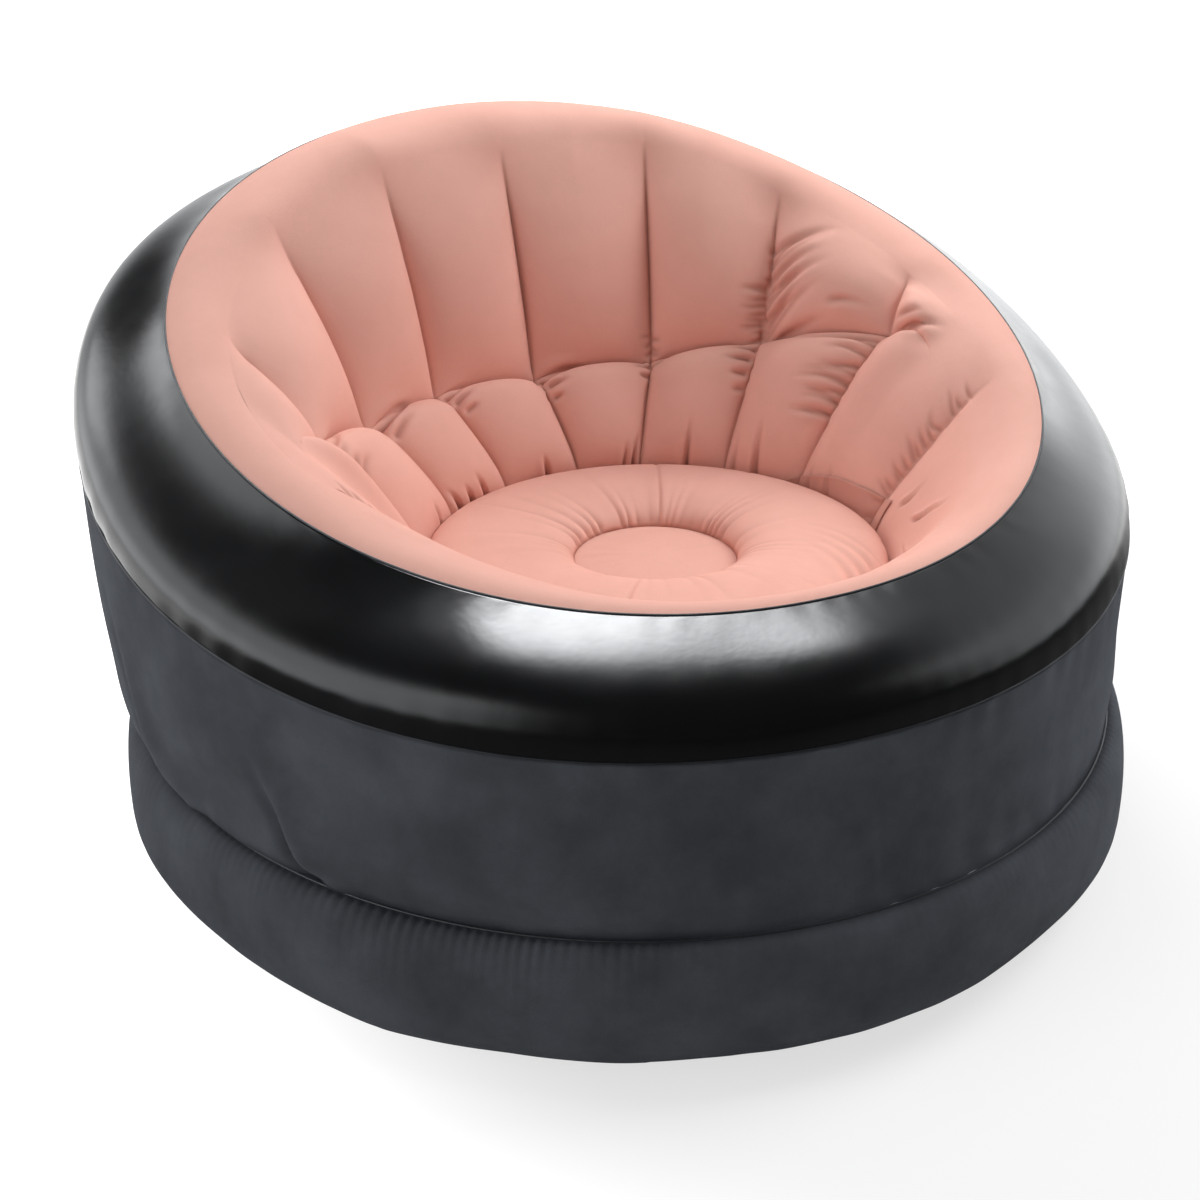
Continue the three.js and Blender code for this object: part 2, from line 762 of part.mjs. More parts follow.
// The sheet's under side in a section plane, cleared by the weld gap square to the surface.
function underside(panel, from, to, column) {
  const flat = [];
  for (let row = from; row <= to; row += 1) {
    flat.push(inSection(panel.under[row][column], columns[column]));
  }
  return flat.map((point, i) => {
    const ahead = flat[Math.min(i + 1, flat.length - 1)];
    const back = flat[Math.max(i - 1, 0)];
    const along = ahead.clone().sub(back).normalize();
    return point.clone().add(new THREE.Vector2(-along.y, along.x).multiplyScalar(weldGap * 2));
  });
}

// Back web: ties a seam of the back to the outer wall and the shoulder.
function backWeb(seam) {
  const column = seamColumn(seam);
  const firstBackRow = foldRow - backRowShares.length - 1;
  const alongSeam = underside(bowlPanel, firstBackRow, foldRow - 1, column);
  const alongWall = underside(upperWall, wallRowAngles.length - 3, wallRowAngles.length - 2, column);
  const alongShoulder = underside(shoulderBand, 1, webTopRow, column);
  return radialWeb([...alongWall, ...alongShoulder, ...alongSeam], columns[column]);
}

// Bolster web: ties a seam of the bolster to the waist diaphragm.
function bolsterWeb(seam) {
  const column = seamColumn(seam);
  const degrees = columns[column];
  const [upper, lower] = underside(bowlPanel, foldRow + 1, foldRow + 2, column);
  const footAt = (distance) => new THREE.Vector2(
    distance, onWaistSheet(distance, degrees).z + webFootGap);
  const innerFoot = footAt(seatRadius + webVent);
  const outerFoot = footAt(lumbarTop[column].x + lumbarWebFoot - webVent);
  return radialWeb([upper, lower, innerFoot, outerFoot].reverse(), degrees);
}

const flockedPink = { color: 0xe3a392, roughness: 0.95, metalness: 0 };
const flockedSlate = { color: 0x3a3e46, roughness: 0.95, metalness: 0 };
const glossBlack = { color: 0x17181a, roughness: 0.18, metalness: 0 };
const plainVinyl = { color: 0x2b2d31, roughness: 0.5, metalness: 0 };
const clearVinyl = { color: 0x9aa0a6, roughness: 0.4, metalness: 0 };
const valveVinyl = { color: 0x4a4d52, roughness: 0.45, metalness: 0 };

function named(name, geometry, finish) {
  const mesh = new THREE.Mesh(geometry, new THREE.MeshStandardMaterial(finish));
  mesh.name = name;
  return mesh;
}

const chair = new THREE.Group();
chair.add(
  named('base_bottom_sheet', floorSheet.geometry, plainVinyl),
  named('base_ring_wall', baseWall.geometry, flockedSlate),
  named('upper_ring_wall', cut(upperWall.geometry, wallHole), flockedSlate),
  named('shoulder_band', shoulderBand.geometry, glossBlack),
  named('bowl_panel', bowlPanel.geometry, flockedPink),
  named('seat_ring_panel', seatRing.geometry, flockedPink),
  named('seat_centre_disc', centreDisc.geometry, flockedPink),
  named('waist_diaphragm', waistDiaphragm.geometry, clearVinyl),
  named('centre_sleeve', centreSleeve.geometry, clearVinyl),
  named('seat_sleeve', seatSleeve.geometry, clearVinyl),
  named('lumbar_web', lumbarWeb.geometry, clearVinyl),
);
for (let seam = 0; seam < seamCount; seam += 1) {
  chair.add(
    named(`back_web_${seam + 1}`, backWeb(seam), clearVinyl),
    named(`bolster_web_${seam + 1}`, bolsterWeb(seam), clearVinyl),
  );
}

const valve = new THREE.Group();
valve.applyMatrix4(valveFrame);
valve.add(
  named('valve_socket', valveSocket, valveVinyl),
  named('deflation_plug', deflationPlug, valveVinyl),
  named('cap_strap', capStrap, valveVinyl),
  named('inflation_cap', inflationCap, valveVinyl),
  named('check_flap', checkFlap, clearVinyl),
);
chair.add(valve);

export default chair;
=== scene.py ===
"""Round inflatable lounge chair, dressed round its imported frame.

Every section of the chair is drawn in an upright plane through the seat axis, at an angle
theta that counts from the front (-Y) towards +X. All lengths are metres.
"""

import logging
import math
from dataclasses import dataclass, field
from enum import Enum
from typing import Optional

import bpy
import numpy as np
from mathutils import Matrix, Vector


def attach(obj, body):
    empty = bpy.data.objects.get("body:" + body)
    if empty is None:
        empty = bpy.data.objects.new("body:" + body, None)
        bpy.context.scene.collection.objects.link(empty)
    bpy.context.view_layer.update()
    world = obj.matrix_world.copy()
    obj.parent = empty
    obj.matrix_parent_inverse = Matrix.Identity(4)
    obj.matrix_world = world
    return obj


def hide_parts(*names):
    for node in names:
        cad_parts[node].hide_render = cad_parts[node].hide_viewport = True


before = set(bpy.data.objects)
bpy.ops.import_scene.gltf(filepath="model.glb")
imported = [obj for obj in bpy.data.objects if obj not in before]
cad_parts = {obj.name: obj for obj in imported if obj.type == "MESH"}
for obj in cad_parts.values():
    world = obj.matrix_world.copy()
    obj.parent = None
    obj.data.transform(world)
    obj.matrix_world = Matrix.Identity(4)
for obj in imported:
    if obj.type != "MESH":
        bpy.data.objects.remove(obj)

logging.basicConfig(level=logging.INFO, format="%(message)s")
LOG = logging.getLogger("chair")
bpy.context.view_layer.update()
TAU = 2 * math.pi
SKIN_GAUGE = 0.0006

Array = np.ndarray
Colour = tuple[float, float, float, float]
Pair = tuple[float, float]
Triple = tuple[float, float, float]
Spots = tuple[Pair, ...]
Source = bpy.types.NodeSocket | float | Colour


def smoothstep(values: Array, low: float, high: float) -> Array:
    """Soft step: 0 below `low`, 1 above `high`, and 3t^2 - 2t^3 between them."""
    t = np.clip((values - low) / (high - low), 0, 1)
    return t * t * (3 - 2 * t)


def unit(vectors: Array) -> Array:
    """Vectors scaled to length 1."""
    return vectors / np.maximum(np.linalg.norm(vectors, axis=-1, keepdims=True), 1e-12)


def even_steps(count: int, end_weight: float = 0.0) -> Array:
    """Shares from 0 to 1 that crowd towards both ends by `end_weight`."""
    t = np.linspace(0, 1, count)
    return (1 - end_weight) * t + end_weight * (1 - np.cos(np.pi * t)) / 2


def near_line(distance: Array, width: float) -> Array:
    """1 on a line, dying out beside it: exp(-(d / width)^2)."""
    return np.exp(-((distance / width) ** 2))


@dataclass(frozen=True)
class Bell:
    """A bell-shaped bump: height * exp(-((v - centre) / width)^2)."""

    height: float
    centre: float
    width: float

    def at(self, values: Array) -> Array:
        """The bell's height at each value."""
        return self.height * near_line(values - self.centre, self.width)


@dataclass(frozen=True)
class Waves:
    """Smooth noise of about unit height that closes round a ring.

    It is a sum of sines of whole counts, with seeded phases and weights.

    Attributes:
        seed: seed of the phases and weights.
        low: lowest count of waves round the ring.
        high: highest count.
    """

    seed: int
    low: int
    high: int
    weights: Pair = (0.4, 1.0)
    mean_square: float = 0.3

    def at(self, theta: Array) -> Array:
        """The noise at angles round the ring.

        Args:
            theta: the angles.

        Returns:
            The noise, with the shape of `theta`.
        """
        draw = np.random.default_rng(self.seed)
        total = np.zeros_like(theta, dtype=float)
        counts = range(self.low, self.high + 1)
        for count in counts:
            weight = draw.uniform(*self.weights)
            total += weight * np.sin(count * theta + draw.uniform(0, TAU))
        return total / math.sqrt(len(counts) * self.mean_square)


@dataclass(frozen=True)
class Ripple:
    """Fine waves along a weld, which die out away from it.

    Attributes:
        height: their height.
        reach: distance over which they die out.
        start: distance from the weld over which they grow from nothing.
        waves: the noise that they follow round the ring.
    """

    height: float
    reach: float
    start: float
    waves: Waves

    def at(self, distance: Array, theta: Array) -> Array:
        """Height at distances from the weld: exp(-d / reach) of the waves."""
        fade = np.exp(-distance / self.reach) * smoothstep(distance, 0, self.start)
        return self.height * fade * self.waves.at(theta)


@dataclass(frozen=True)
class Pleats:
    """Gathers round a ring: |sin| of a phase that wanders, so valleys are sharp.

    Attributes:
        count: how many gathers go round.
        seed: seed of the wandering.
        wander: how far the phase wanders.
    """

    count: int
    seed: int
    wander: float = 1.6

    def at(self, theta: Array) -> Array:
        """Values from 0 on the ridges to 1 in the valleys."""
        phase = self.count / 2 * theta + self.wander * Waves(self.seed, 3, 14).at(theta)
        return 1 - np.abs(np.sin(phase))


@dataclass(frozen=True)
class Hump:
    """How a swell rises and falls along a chord: 0 at both ends and 1 at its peak.

    It rises as (1 - ((p - s) / p)^a)^b and falls as (1 - ((s - p) / (1 - p))^a)^b.

    Attributes:
        peak: share p of the chord at which it is full.
        rise: powers a and b of its rise.
        fall: powers a and b of its fall.
    """

    peak: float
    rise: Pair
    fall: Pair

    def at(self, share: Array) -> Array:
        """The swell at shares of the chord: the lesser of its rise and its fall."""
        before = np.clip((self.peak - share) / self.peak, 0, 1) ** self.rise[0]
        after = np.clip((share - self.peak) / (1 - self.peak), 0, 1) ** self.fall[0]
        return np.minimum((1 - before) ** self.rise[1], (1 - after) ** self.fall[1])


@dataclass(frozen=True)
class Ring:
    """A level or raked oval line of the chair.

    Attributes:
        centre_y: its middle, along the chair's depth.
        half_width: half its width.
        half_depth: half its depth.
        front: height at the front end.
        back: height at the back end.
        rise: exponent of the climb from front to back.
    """

    centre_y: float
    half_width: float
    half_depth: float
    front: float
    back: float
    rise: float = 1.0

    def height_at(self, y: Array) -> Array:
        """Height at a depth y: it climbs with the share of the ring's depth."""
        share = np.clip((y - self.centre_y + self.half_depth) / (2 * self.half_depth), 0, 1)
        return self.front + (self.back - self.front) * share**self.rise

    def points(self, theta: Array, axis_y: float) -> Array:
        """Where the ring crosses each section plane.

        The oval is met by a ray from the seat axis, which is the positive root of a
        quadratic.

        Args:
            theta: angles of the section planes.
            axis_y: the seat axis's place.

        Returns:
            (columns, 2) distances from the seat axis, and heights.
        """
        across, ahead = np.sin(theta), np.cos(theta)
        offset = self.centre_y - axis_y
        p = (across / self.half_width) ** 2 + (ahead / self.half_depth) ** 2
        q = ahead * offset / self.half_depth**2
        r = (offset / self.half_depth) ** 2 - 1
        distance = (-q + np.sqrt(q * q - p * r)) / p
        return np.stack([distance, self.height_at(axis_y - distance * ahead)], axis=-1)


@dataclass(frozen=True)
class ChairForm:
    """The lines that the whole chair is drawn on, as in its frame."""

    axis_y: float = -0.080
    contact: Ring = Ring(-0.006, 0.456, 0.456, 0.0, 0.0)
    bulge: Ring = Ring(-0.006, 0.557, 0.557, 0.067, 0.067)
    waist: Ring = Ring(-0.008, 0.529, 0.529, 0.152, 0.168)
    belt: Ring = Ring(0.025, 0.556, 0.538, 0.316, 0.620, 1.5)
    rim: Ring = Ring(0.027, 0.459, 0.439, 0.399, 0.685, 1.19)
    seam_top: Ring = Ring(-0.010, 0.404, 0.344, 0.375, 0.667)
    fold: Ring = Ring(-0.085, 0.355, 0.334, 0.391, 0.391)
    fold_side_height: float = 0.090
    front_blend: Pair = (75.0, 135.0)
    fold_fade: Pair = (73.0, 86.0)
    seat_radius: float = 0.248
    seat_height: float = 0.296
    seat_crown: float = 0.329
    seat_crown_tilt: float = 0.007
    disc_radius: float = 0.087
    disc_height: float = 0.298
    seams: int = 9
    seam_step: float = 22.9
    seam_spread: float = 0.12

    @property
    def last_place(self) -> float:
        """The outermost seam's count from the middle of the back."""
        return (self.seams - 1) / 2

    @property
    def last_angle(self) -> float:
        """The outermost seam's degrees from the middle of the back."""
        return self.seam_angle(self.last_place)

    def seam_angle(self, place: float | Array) -> float | Array:
        """Degrees from the middle of the back of a place that counts seams."""
        return place * self.seam_step + place**3 * self.seam_spread

    def from_back(self, theta: Array) -> Array:
        """Degrees from the middle of the back, 0 to 180."""
        return np.abs(np.degrees(theta) % 360 - 180)

    def at_front(self, theta: Array) -> Array:
        """0 behind, 1 in the smooth front of the bowl."""
        return smoothstep(self.from_back(theta), *self.front_blend)

    def opened(self, theta: Array) -> Array:
        """0 where the fold line is pinched, 1 where the wall runs open from collar to seat."""
        return smoothstep(self.from_back(theta), *self.fold_fade)

    def line(self, ring: Ring, theta: Array) -> Array:
        """A ring's (distance, height) pairs in the section planes."""
        return ring.points(theta, self.axis_y)

    def in_space(self, section: Array, theta: Array) -> Array:
        """Turns section points into points in space: (d sin theta, axis - d cos theta, h).

        Args:
            section: (..., columns, 2) distances from the seat axis, and heights.
            theta: angles of the section planes.

        Returns:
            (..., columns, 3) points.
        """
        distance, height = section[..., 0], section[..., 1]
        theta = np.broadcast_to(theta, distance.shape)
        return np.stack(
            [distance * np.sin(theta), self.axis_y - distance * np.cos(theta), height], -1
        )


FORM = ChairForm()


def outward(start: Array, end: Array) -> Array:
    """Unit vectors square to the chords between two lines of section points."""
    along = unit(end - start)
    return np.stack([along[:, 1], -along[:, 0]], -1)


def raised(start: Array, end: Array, share: Array, lift: Array) -> Array:
    """Points between two lines of section points, pushed out square to the chord.

    Args:
        start: (columns, 2) points.
        end: (columns, 2) points.
        share: (rows, 1) or (rows, columns) shares of the way.
        lift: (rows, columns) distances pushed out.

    Returns:
        (rows, columns, 2) points.
    """
    return start + (end - start) * share[..., None] + outward(start, end) * lift[..., None]


def bezier(p0: Array, p1: Array, p2: Array, p3: Array, share: Array) -> Array:
    """Cubic Bezier curves, one for each column.

    Args:
        p0: (columns, 2) points where they start.
        p1: (columns, 2) points that they leave towards.
        p2: (columns, 2) points that they arrive from.
        p3: (columns, 2) points where they end.
        share: (rows,) shares at which they are read.

    Returns:
        (rows, columns, 2) points.
    """
    t = share[:, None, None]
    return (
        p0 * (1 - t) ** 3 + 3 * p1 * t * (1 - t) ** 2 + 3 * p2 * t**2 * (1 - t) + p3 * t**3
    )


def corner(narrow: Array, wide: Array, angles: Array, roundness: float) -> Array:
    """A rounded corner: upright at the wide point, level at the narrow one.

    It is a quarter of a superellipse: cos^(2/n) of the reach, sin^(2/n) of the rise.

    Args:
        narrow: (columns, 2) section points of its level end.
        wide: (columns, 2) section points of its upright end.
        angles: (rows,) angles from 0 at the upright end to a quarter turn.
        roundness: the power n.

    Returns:
        (rows, columns, 2) points.
    """
    level = np.cos(angles) ** (2 / roundness)
    upright = np.sin(angles) ** (2 / roundness)
    x = narrow[:, 0] + (wide[:, 0] - narrow[:, 0]) * level[:, None]
    y = wide[:, 1] + (narrow[:, 1] - wide[:, 1]) * upright[:, None]
    return np.stack([x, y], -1)


def grid_normals(points: Array) -> Array:
    """Unit normals of a closed grid of points: cross product of its column and row steps."""
    across = np.roll(points, -1, 1) - np.roll(points, 1, 1)
    return unit(np.cross(across, np.gradient(points, axis=0)))


def steps_along(points: Array) -> Array:
    """Length walked along each column from the first row, in metres."""
    pieces = np.linalg.norm(np.diff(points, axis=0), axis=-1)
    return np.concatenate([np.zeros((1, points.shape[1])), np.cumsum(pieces, 0)])


def evened(values: Array, reach: int) -> Array:
    """Averages each column with its neighbours, weighted 1 - k / (reach + 1).

    Args:
        values: (columns, ...) values round a ring.
        reach: how many columns away the last neighbour lies.

    Returns:
        The averages, with the shape of `values`.
    """
    shifts = range(-reach, reach + 1)
    total = sum((reach + 1 - abs(k)) * np.roll(values, k, axis=0) for k in shifts)
    return total / (reach + 1) ** 2


def mesh_points(mesh: bpy.types.Mesh) -> Array:
    """A mesh's points, as a (count, 3) array."""
    corners = np.empty(len(mesh.vertices) * 3)
    mesh.vertices.foreach_get("co", corners)
    return corners.reshape(-1, 3)


def make_sheet(
    name: str,
    points: Array,
    *,
    closed: bool = True,
    tube: bool = False,
    pole_first: bool = False,
    pole_last: bool = False,
    crease: Optional[Array] = None,
    hole: Optional[Array] = None,
) -> bpy.types.Object:
    """Puts a grid of points into a smooth mesh.

    Args:
        name: the piece's name.
        points: (rows, columns, 3) points; rows and columns turn right-handed to the outside.
        closed: whether the last column joins the first.
        tube: whether the last row joins the first.
        pole_first: whether the first row is one point.
        pole_last: whether the last row is one point.
        crease: (rows, columns) shares of weld and painted-shade colour, kept on the mesh's points.
        hole: (rows, columns) marks of the points that a hole takes away.

    Returns:
        The new object.
    """
    rows, columns = points.shape[:2]
    index = np.arange(rows * columns).reshape(rows, columns)
    if pole_first:
        index[0] = index[0, 0]
    if pole_last:
        index[-1] = index[-1, 0]
    used, flat = np.unique(index, return_inverse=True)
    index = flat.reshape(rows, columns)
    if tube:
        index = np.concatenate([index, index[:1]])
    right = np.roll(index, -1, 1) if closed else index[:, 1:]
    left = index if closed else index[:, :-1]
    quads = np.stack([left[:-1], right[:-1], right[1:], left[1:]], -1).reshape(-1, 4)
    if hole is not None:
        quads = quads[~hole.reshape(-1)[used][quads].any(axis=1)]
        kept, flat = np.unique(quads, return_inverse=True)
        used, quads = used[kept], flat.reshape(-1, 4)
    sides = quads.tolist()
    if pole_first or pole_last:
        sides = [list(dict.fromkeys(side)) for side in sides]
    mesh = bpy.data.meshes.new(name)
    mesh.from_pydata(points.reshape(-1, 3)[used].tolist(), [], sides)
    mesh.polygons.foreach_set("use_smooth", np.ones(len(sides), bool))
    if crease is not None:
        layer = mesh.attributes.new("crease", "FLOAT", "POINT")
        values = np.broadcast_to(crease, (rows, columns)).reshape(-1)[used]
        layer.data.foreach_set("value", values.astype(np.float32))
    mesh.update()
    piece = bpy.data.objects.new(name, mesh)
    bpy.context.scene.collection.objects.link(piece)
    return piece


def make_bead(name: str, path: Array, radius: float, sides: int = 10) -> bpy.types.Object:
    """A closed round bead carried along a closed path.

    Each ring of points is radius * (cos a * side + sin a * up) round the path, where side
    and up are square to the path's direction.

    Args:
        name: the piece's name.
        path: (columns, 3) points.
        radius: the bead's radius.
        sides: number of sides.

    Returns:
        The new object.
    """
    ahead = unit(np.roll(path, -1, 0) - np.roll(path, 1, 0))
    side = unit(np.cross(ahead, np.array([0.0, 0.0, 1.0])))
    up = np.cross(side, ahead)
    angle = np.arange(sides)[::-1, None, None] / sides * TAU
    return make_sheet(name, path + radius * (np.cos(angle) * side + np.sin(angle) * up), tube=True)


class Tree:
    """A node tree, with short ways to add, join and work out values."""

    def __init__(self, tree: bpy.types.NodeTree) -> None:
        """Empties the tree."""
        self.tree = tree
        self.tree.nodes.clear()

    def add(self, kind: str, **settings: object) -> bpy.types.Node:
        """Adds a node and sets its properties.

        Args:
            kind: the node's type.
            **settings: its properties.

        Returns:
            The node.
        """
        node = self.tree.nodes.new(kind)
        for key, value in settings.items():
            setattr(node, key, value)
        return node

    def join(self, source: Source, target: bpy.types.NodeSocket) -> None:
        """Joins a socket to a target, or sets the target to a plain value.

        Args:
            source: the socket or the value.
            target: the socket that takes it.
        """
        if isinstance(source, bpy.types.NodeSocket):
            self.tree.links.new(source, target)
        else:
            target.default_value = source

    def work_out(self, operation: str, first: Source, second: Source) -> bpy.types.NodeSocket:
        """Works out two values, each a number or a socket.

        Args:
            operation: the math node's operation.
            first: the first value.
            second: the second value.

        Returns:
            The result's socket.
        """
        node = self.add("ShaderNodeMath", operation=operation)
        self.join(first, node.inputs[0])
        self.join(second, node.inputs[1])
        return node.outputs[0]

    def spread(
        self,
        source: bpy.types.NodeSocket,
        low: float,
        high: float,
        to_low: float = 0.0,
        to_high: float = 1.0,
        soft: bool = False,
    ) -> bpy.types.NodeSocket:
        """Maps a range of values to another, and holds its ends.

        Args:
            source: the values.
            low: start of their range.
            high: end of their range.
            to_low: what the start becomes.
            to_high: what the end becomes.
            soft: whether the ends are eased.

        Returns:
            The result's socket.
        """
        kind = "SMOOTHSTEP" if soft else "LINEAR"
        node = self.add("ShaderNodeMapRange", interpolation_type=kind)
        keys = ("Value", "From Min", "From Max", "To Min", "To Max")
        for key, value in zip(keys, (source, low, high, to_low, to_high)):
            self.join(value, node.inputs[key])
        return node.outputs["Result"]


@dataclass(frozen=True)
class Noise:
    """A noise pattern, with the range of its values that is used.

    Attributes:
        scale: how many features there are in a metre.
        detail: octaves of finer detail.
        roughness: how strong the finer detail is.
        used: values that count as 0 and as 1.
    """

    scale: float
    detail: float
    roughness: float
    used: Pair = (0.3, 0.7)


@dataclass(frozen=True)
class Relief:
    """A bump in a finish: its noise, its depth in metres and its strength."""

    noise: Noise
    depth: float
    strength: float


class Graph(Tree):
    """A material's node tree, with its shader."""

    # The colour sockets of a Mix node, which come after those of its other data types.
    MIX_INPUTS = (6, 7)
    MIX_OUTPUT = 2

    def __init__(self, name: str) -> None:
        """Makes a material with its output and shader.

        Args:
            name: the material's name.
        """
        self.material = bpy.data.materials.new(name)
        self.material.use_nodes = True
        super().__init__(self.material.node_tree)
        self.output = self.add("ShaderNodeOutputMaterial")
        self.shader = self.add("ShaderNodeBsdfPrincipled")
        self.join(self.shader.outputs["BSDF"], self.output.inputs["Surface"])

    def set(self, **values: Source) -> None:
        """Feeds the shader's sockets; an underscore in a key stands for a space."""
        for key, value in values.items():
            self.join(value, self.shader.inputs[key.replace("_", " ")])

    def noise(self, noise: Noise) -> bpy.types.NodeSocket:
        """Adds noise on the piece's own coordinates.

        Args:
            noise: the pattern.

        Returns:
            Its values, not yet cut to the range that is used.
        """
        place = self.add("ShaderNodeTexCoord")
        node = self.add("ShaderNodeTexNoise")
        node.inputs["Scale"].default_value = noise.scale
        node.inputs["Detail"].default_value = noise.detail
        node.inputs["Roughness"].default_value = noise.roughness
        self.join(place.outputs["Object"], node.inputs["Vector"])
        return node.outputs["Fac"]

    def cloud(self, noise: Noise, low: float, high: float) -> bpy.types.NodeSocket:
        """Noise that runs from `low` to `high` over its used range."""
        return self.spread(self.noise(noise), *noise.used, low, high)

    def mixed(self, share: Source, first: Source, second: Source) -> bpy.types.NodeSocket:
        """Mixes two colours, each a colour or a socket, by a share.

        Args:
            share: how much of the second colour is taken.
            first: the first colour.
            second: the second colour.

        Returns:
            The mix's socket.
        """
        node = self.add("ShaderNodeMix", data_type="RGBA")
        self.join(share, node.inputs["Factor"])
        for key, colour_in in zip(self.MIX_INPUTS, (first, second)):
            self.join(colour_in, node.inputs[key])
        return node.outputs[self.MIX_OUTPUT]

    def relieved(self, *reliefs: Relief) -> None:
        """Gives the shader bumps, each laid over the one before."""
        normal = None
        for relief in reliefs:
            height = self.noise(relief.noise)
            node = self.add("ShaderNodeBump")
            node.inputs["Distance"].default_value = relief.depth
            node.inputs["Strength"].default_value = relief.strength
            self.join(height, node.inputs["Height"])
            if normal is not None:
                self.join(normal, node.inputs["Normal"])
            normal = node.outputs["Normal"]
        self.set(Normal=normal)


def colour(red: float, green: float, blue: float) -> Colour:
    """A colour of 0..255 display values, as the linear one of the sRGB curve."""
    display = np.array([red, green, blue]) / 255
    linear = np.where(display <= 0.04045, display / 12.92, ((display + 0.055) / 1.055) ** 2.4)
    return (*linear.tolist(), 1.0)


@dataclass(frozen=True)
class Flock:
    """Short flocked pile on vinyl: matt, with a soft sheen, nap marks, darker welds and painted
    shade in its creases.
    """

    name: str
    pile: Colour
    shade: Colour
    pressed_and_shaded: Colour
    sheen: float = 0.35
    nap_contrast: float = 0.5
    speck_contrast: float = 0.154
    crease_contrast: float = 0.7
    roughness: float = 0.92
    sheen_roughness: float = 0.42
    specular: float = 0.18
    nap: Noise = Noise(9.0, 5.0, 0.62, (0.35, 0.68))
    specks: Noise = Noise(420.0, 2.0, 0.7)
    grain: Relief = Relief(Noise(900.0, 3.0, 0.7), 0.0006, 0.55)
    marks: Relief = Relief(Noise(60.0, 4.0, 0.6), 0.0012, 0.22)

    def material(self) -> bpy.types.Material:
        """Builds the pile's colour, sheen and grain.

        Returns:
            The material, whose darker welds and painted crease shade follow the mesh's own
            attribute.
        """
        g = Graph(self.name)
        base = g.mixed(g.cloud(self.nap, 0.0, self.nap_contrast), self.pile, self.shade)
        base = g.mixed(g.cloud(self.specks, 0.0, self.speck_contrast), base, self.shade)
        # Painted shade: the crease attribute mixes in the darker colour along welds and in the
        # valleys of folds, puckers and gathers.
        crease = g.add("ShaderNodeAttribute", attribute_name="crease").outputs["Fac"]
        inked = g.spread(crease, 0.0, 1.0, 0.0, self.crease_contrast)
        g.set(Base_Color=g.mixed(inked, base, self.pressed_and_shaded), Sheen_Tint=self.pile)
        g.set(Roughness=self.roughness, Specular_IOR_Level=self.specular)
        g.set(Sheen_Weight=self.sheen, Sheen_Roughness=self.sheen_roughness)
        g.relieved(self.grain, self.marks)
        return g.material


@dataclass(frozen=True)
class Vinyl:
    """Unflocked vinyl sheet or moulding, plain or glossy.

    Attributes:
        name: the material's name.
        body: its colour.
        shade: colour of its clouds.
        roughness: its mean roughness.
        ior: its refractive index.
        clouds: pattern of the second colour.
        cloud_contrast: how much of it shows.
        wear: pattern of the duller patches.
        wear_spread: shares of the mean roughness at the pattern's ends.
        reliefs: its bumps, finest first.
    """

    name: str
    body: Colour
    shade: Colour
    roughness: float = 0.45
    ior: float = 1.5
    clouds: Noise = Noise(18.0, 4.0, 0.6, (0.35, 0.7))
    cloud_contrast: float = 0.8
    wear: Noise = Noise(35.0, 4.0, 0.6)
    wear_spread: Pair = (0.85, 1.2)
    reliefs: tuple[Relief, ...] = (Relief(Noise(260.0, 3.0, 0.6), 0.0004, 0.25),)

    def material(self) -> bpy.types.Material:
        """Builds the vinyl's clouded colour, uneven gloss and relief.

        Returns:
            The material.
        """
        g = Graph(self.name)
        clouds = g.cloud(self.clouds, 0.0, self.cloud_contrast)
        g.set(Base_Color=g.mixed(clouds, self.body, self.shade))
        low, high = self.wear_spread
        g.set(Roughness=g.cloud(self.wear, self.roughness * low, self.roughness * high))
        g.set(IOR=self.ior)
        g.relieved(*self.reliefs)
        return g.material


class Slot(Enum):
    """The record's material slots."""

    PINK = "flocked_pink"
    SLATE = "flocked_slate"
    GLOSS = "gloss_black_vinyl"
    PLAIN = "plain_vinyl"
    WEB = "web_vinyl"
    VALVE = "valve_vinyl"


# Each flock's third colour darkens its welds and gives the painted shade in its creases, folds and
# gathers.
FINISHES: dict[Slot, Flock | Vinyl] = {
    Slot.PINK: Flock(
        "flocked pink", colour(236, 183, 169), colour(223, 169, 154), colour(176, 117, 102)
    ),
    Slot.SLATE: Flock(
        "flocked slate",
        colour(86, 89, 95),
        colour(64, 66, 71),
        colour(36, 37, 41),
        sheen=0.5,
        nap_contrast=0.9,
    ),
    Slot.GLOSS: Vinyl(
        "gloss black vinyl",
        colour(15, 15, 16),
        colour(23, 24, 26),
        roughness=0.2,
        ior=1.48,
        clouds=Noise(5.0, 4.0, 0.6, (0.35, 0.7)),
        cloud_contrast=0.6,
        wear=Noise(11.0, 5.0, 0.65),
        wear_spread=(0.8, 1.25),
        reliefs=(
            Relief(Noise(140.0, 2.0, 0.5), 0.0004, 0.12),
            Relief(Noise(16.0, 3.0, 0.5), 0.002, 0.10),
        ),
    ),
    Slot.PLAIN: Vinyl("plain vinyl", colour(44, 46, 50), colour(36, 38, 42)),
    Slot.WEB: Vinyl("web vinyl", colour(150, 154, 160), colour(132, 137, 143)),
    Slot.VALVE: Vinyl(
        "valve vinyl",
        colour(66, 68, 72),
        colour(54, 56, 60),
        roughness=0.38,
        reliefs=(Relief(Noise(420.0, 3.0, 0.6), 0.0004, 0.25),),
    ),
}
MATERIALS: dict[Slot, bpy.types.Material] = {}


def dressed(piece: bpy.types.Object, slot: Slot) -> bpy.types.Object:
    """Gives a piece its finish and names the record's slot for it.

    Args:
        piece: the piece.
        slot: the record's slot.

    Returns:
        The piece.
    """
    if slot not in MATERIALS:
        MATERIALS[slot] = FINISHES[slot].material()
    piece.data.materials.clear()
    piece.data.materials.append(MATERIALS[slot])
    return piece


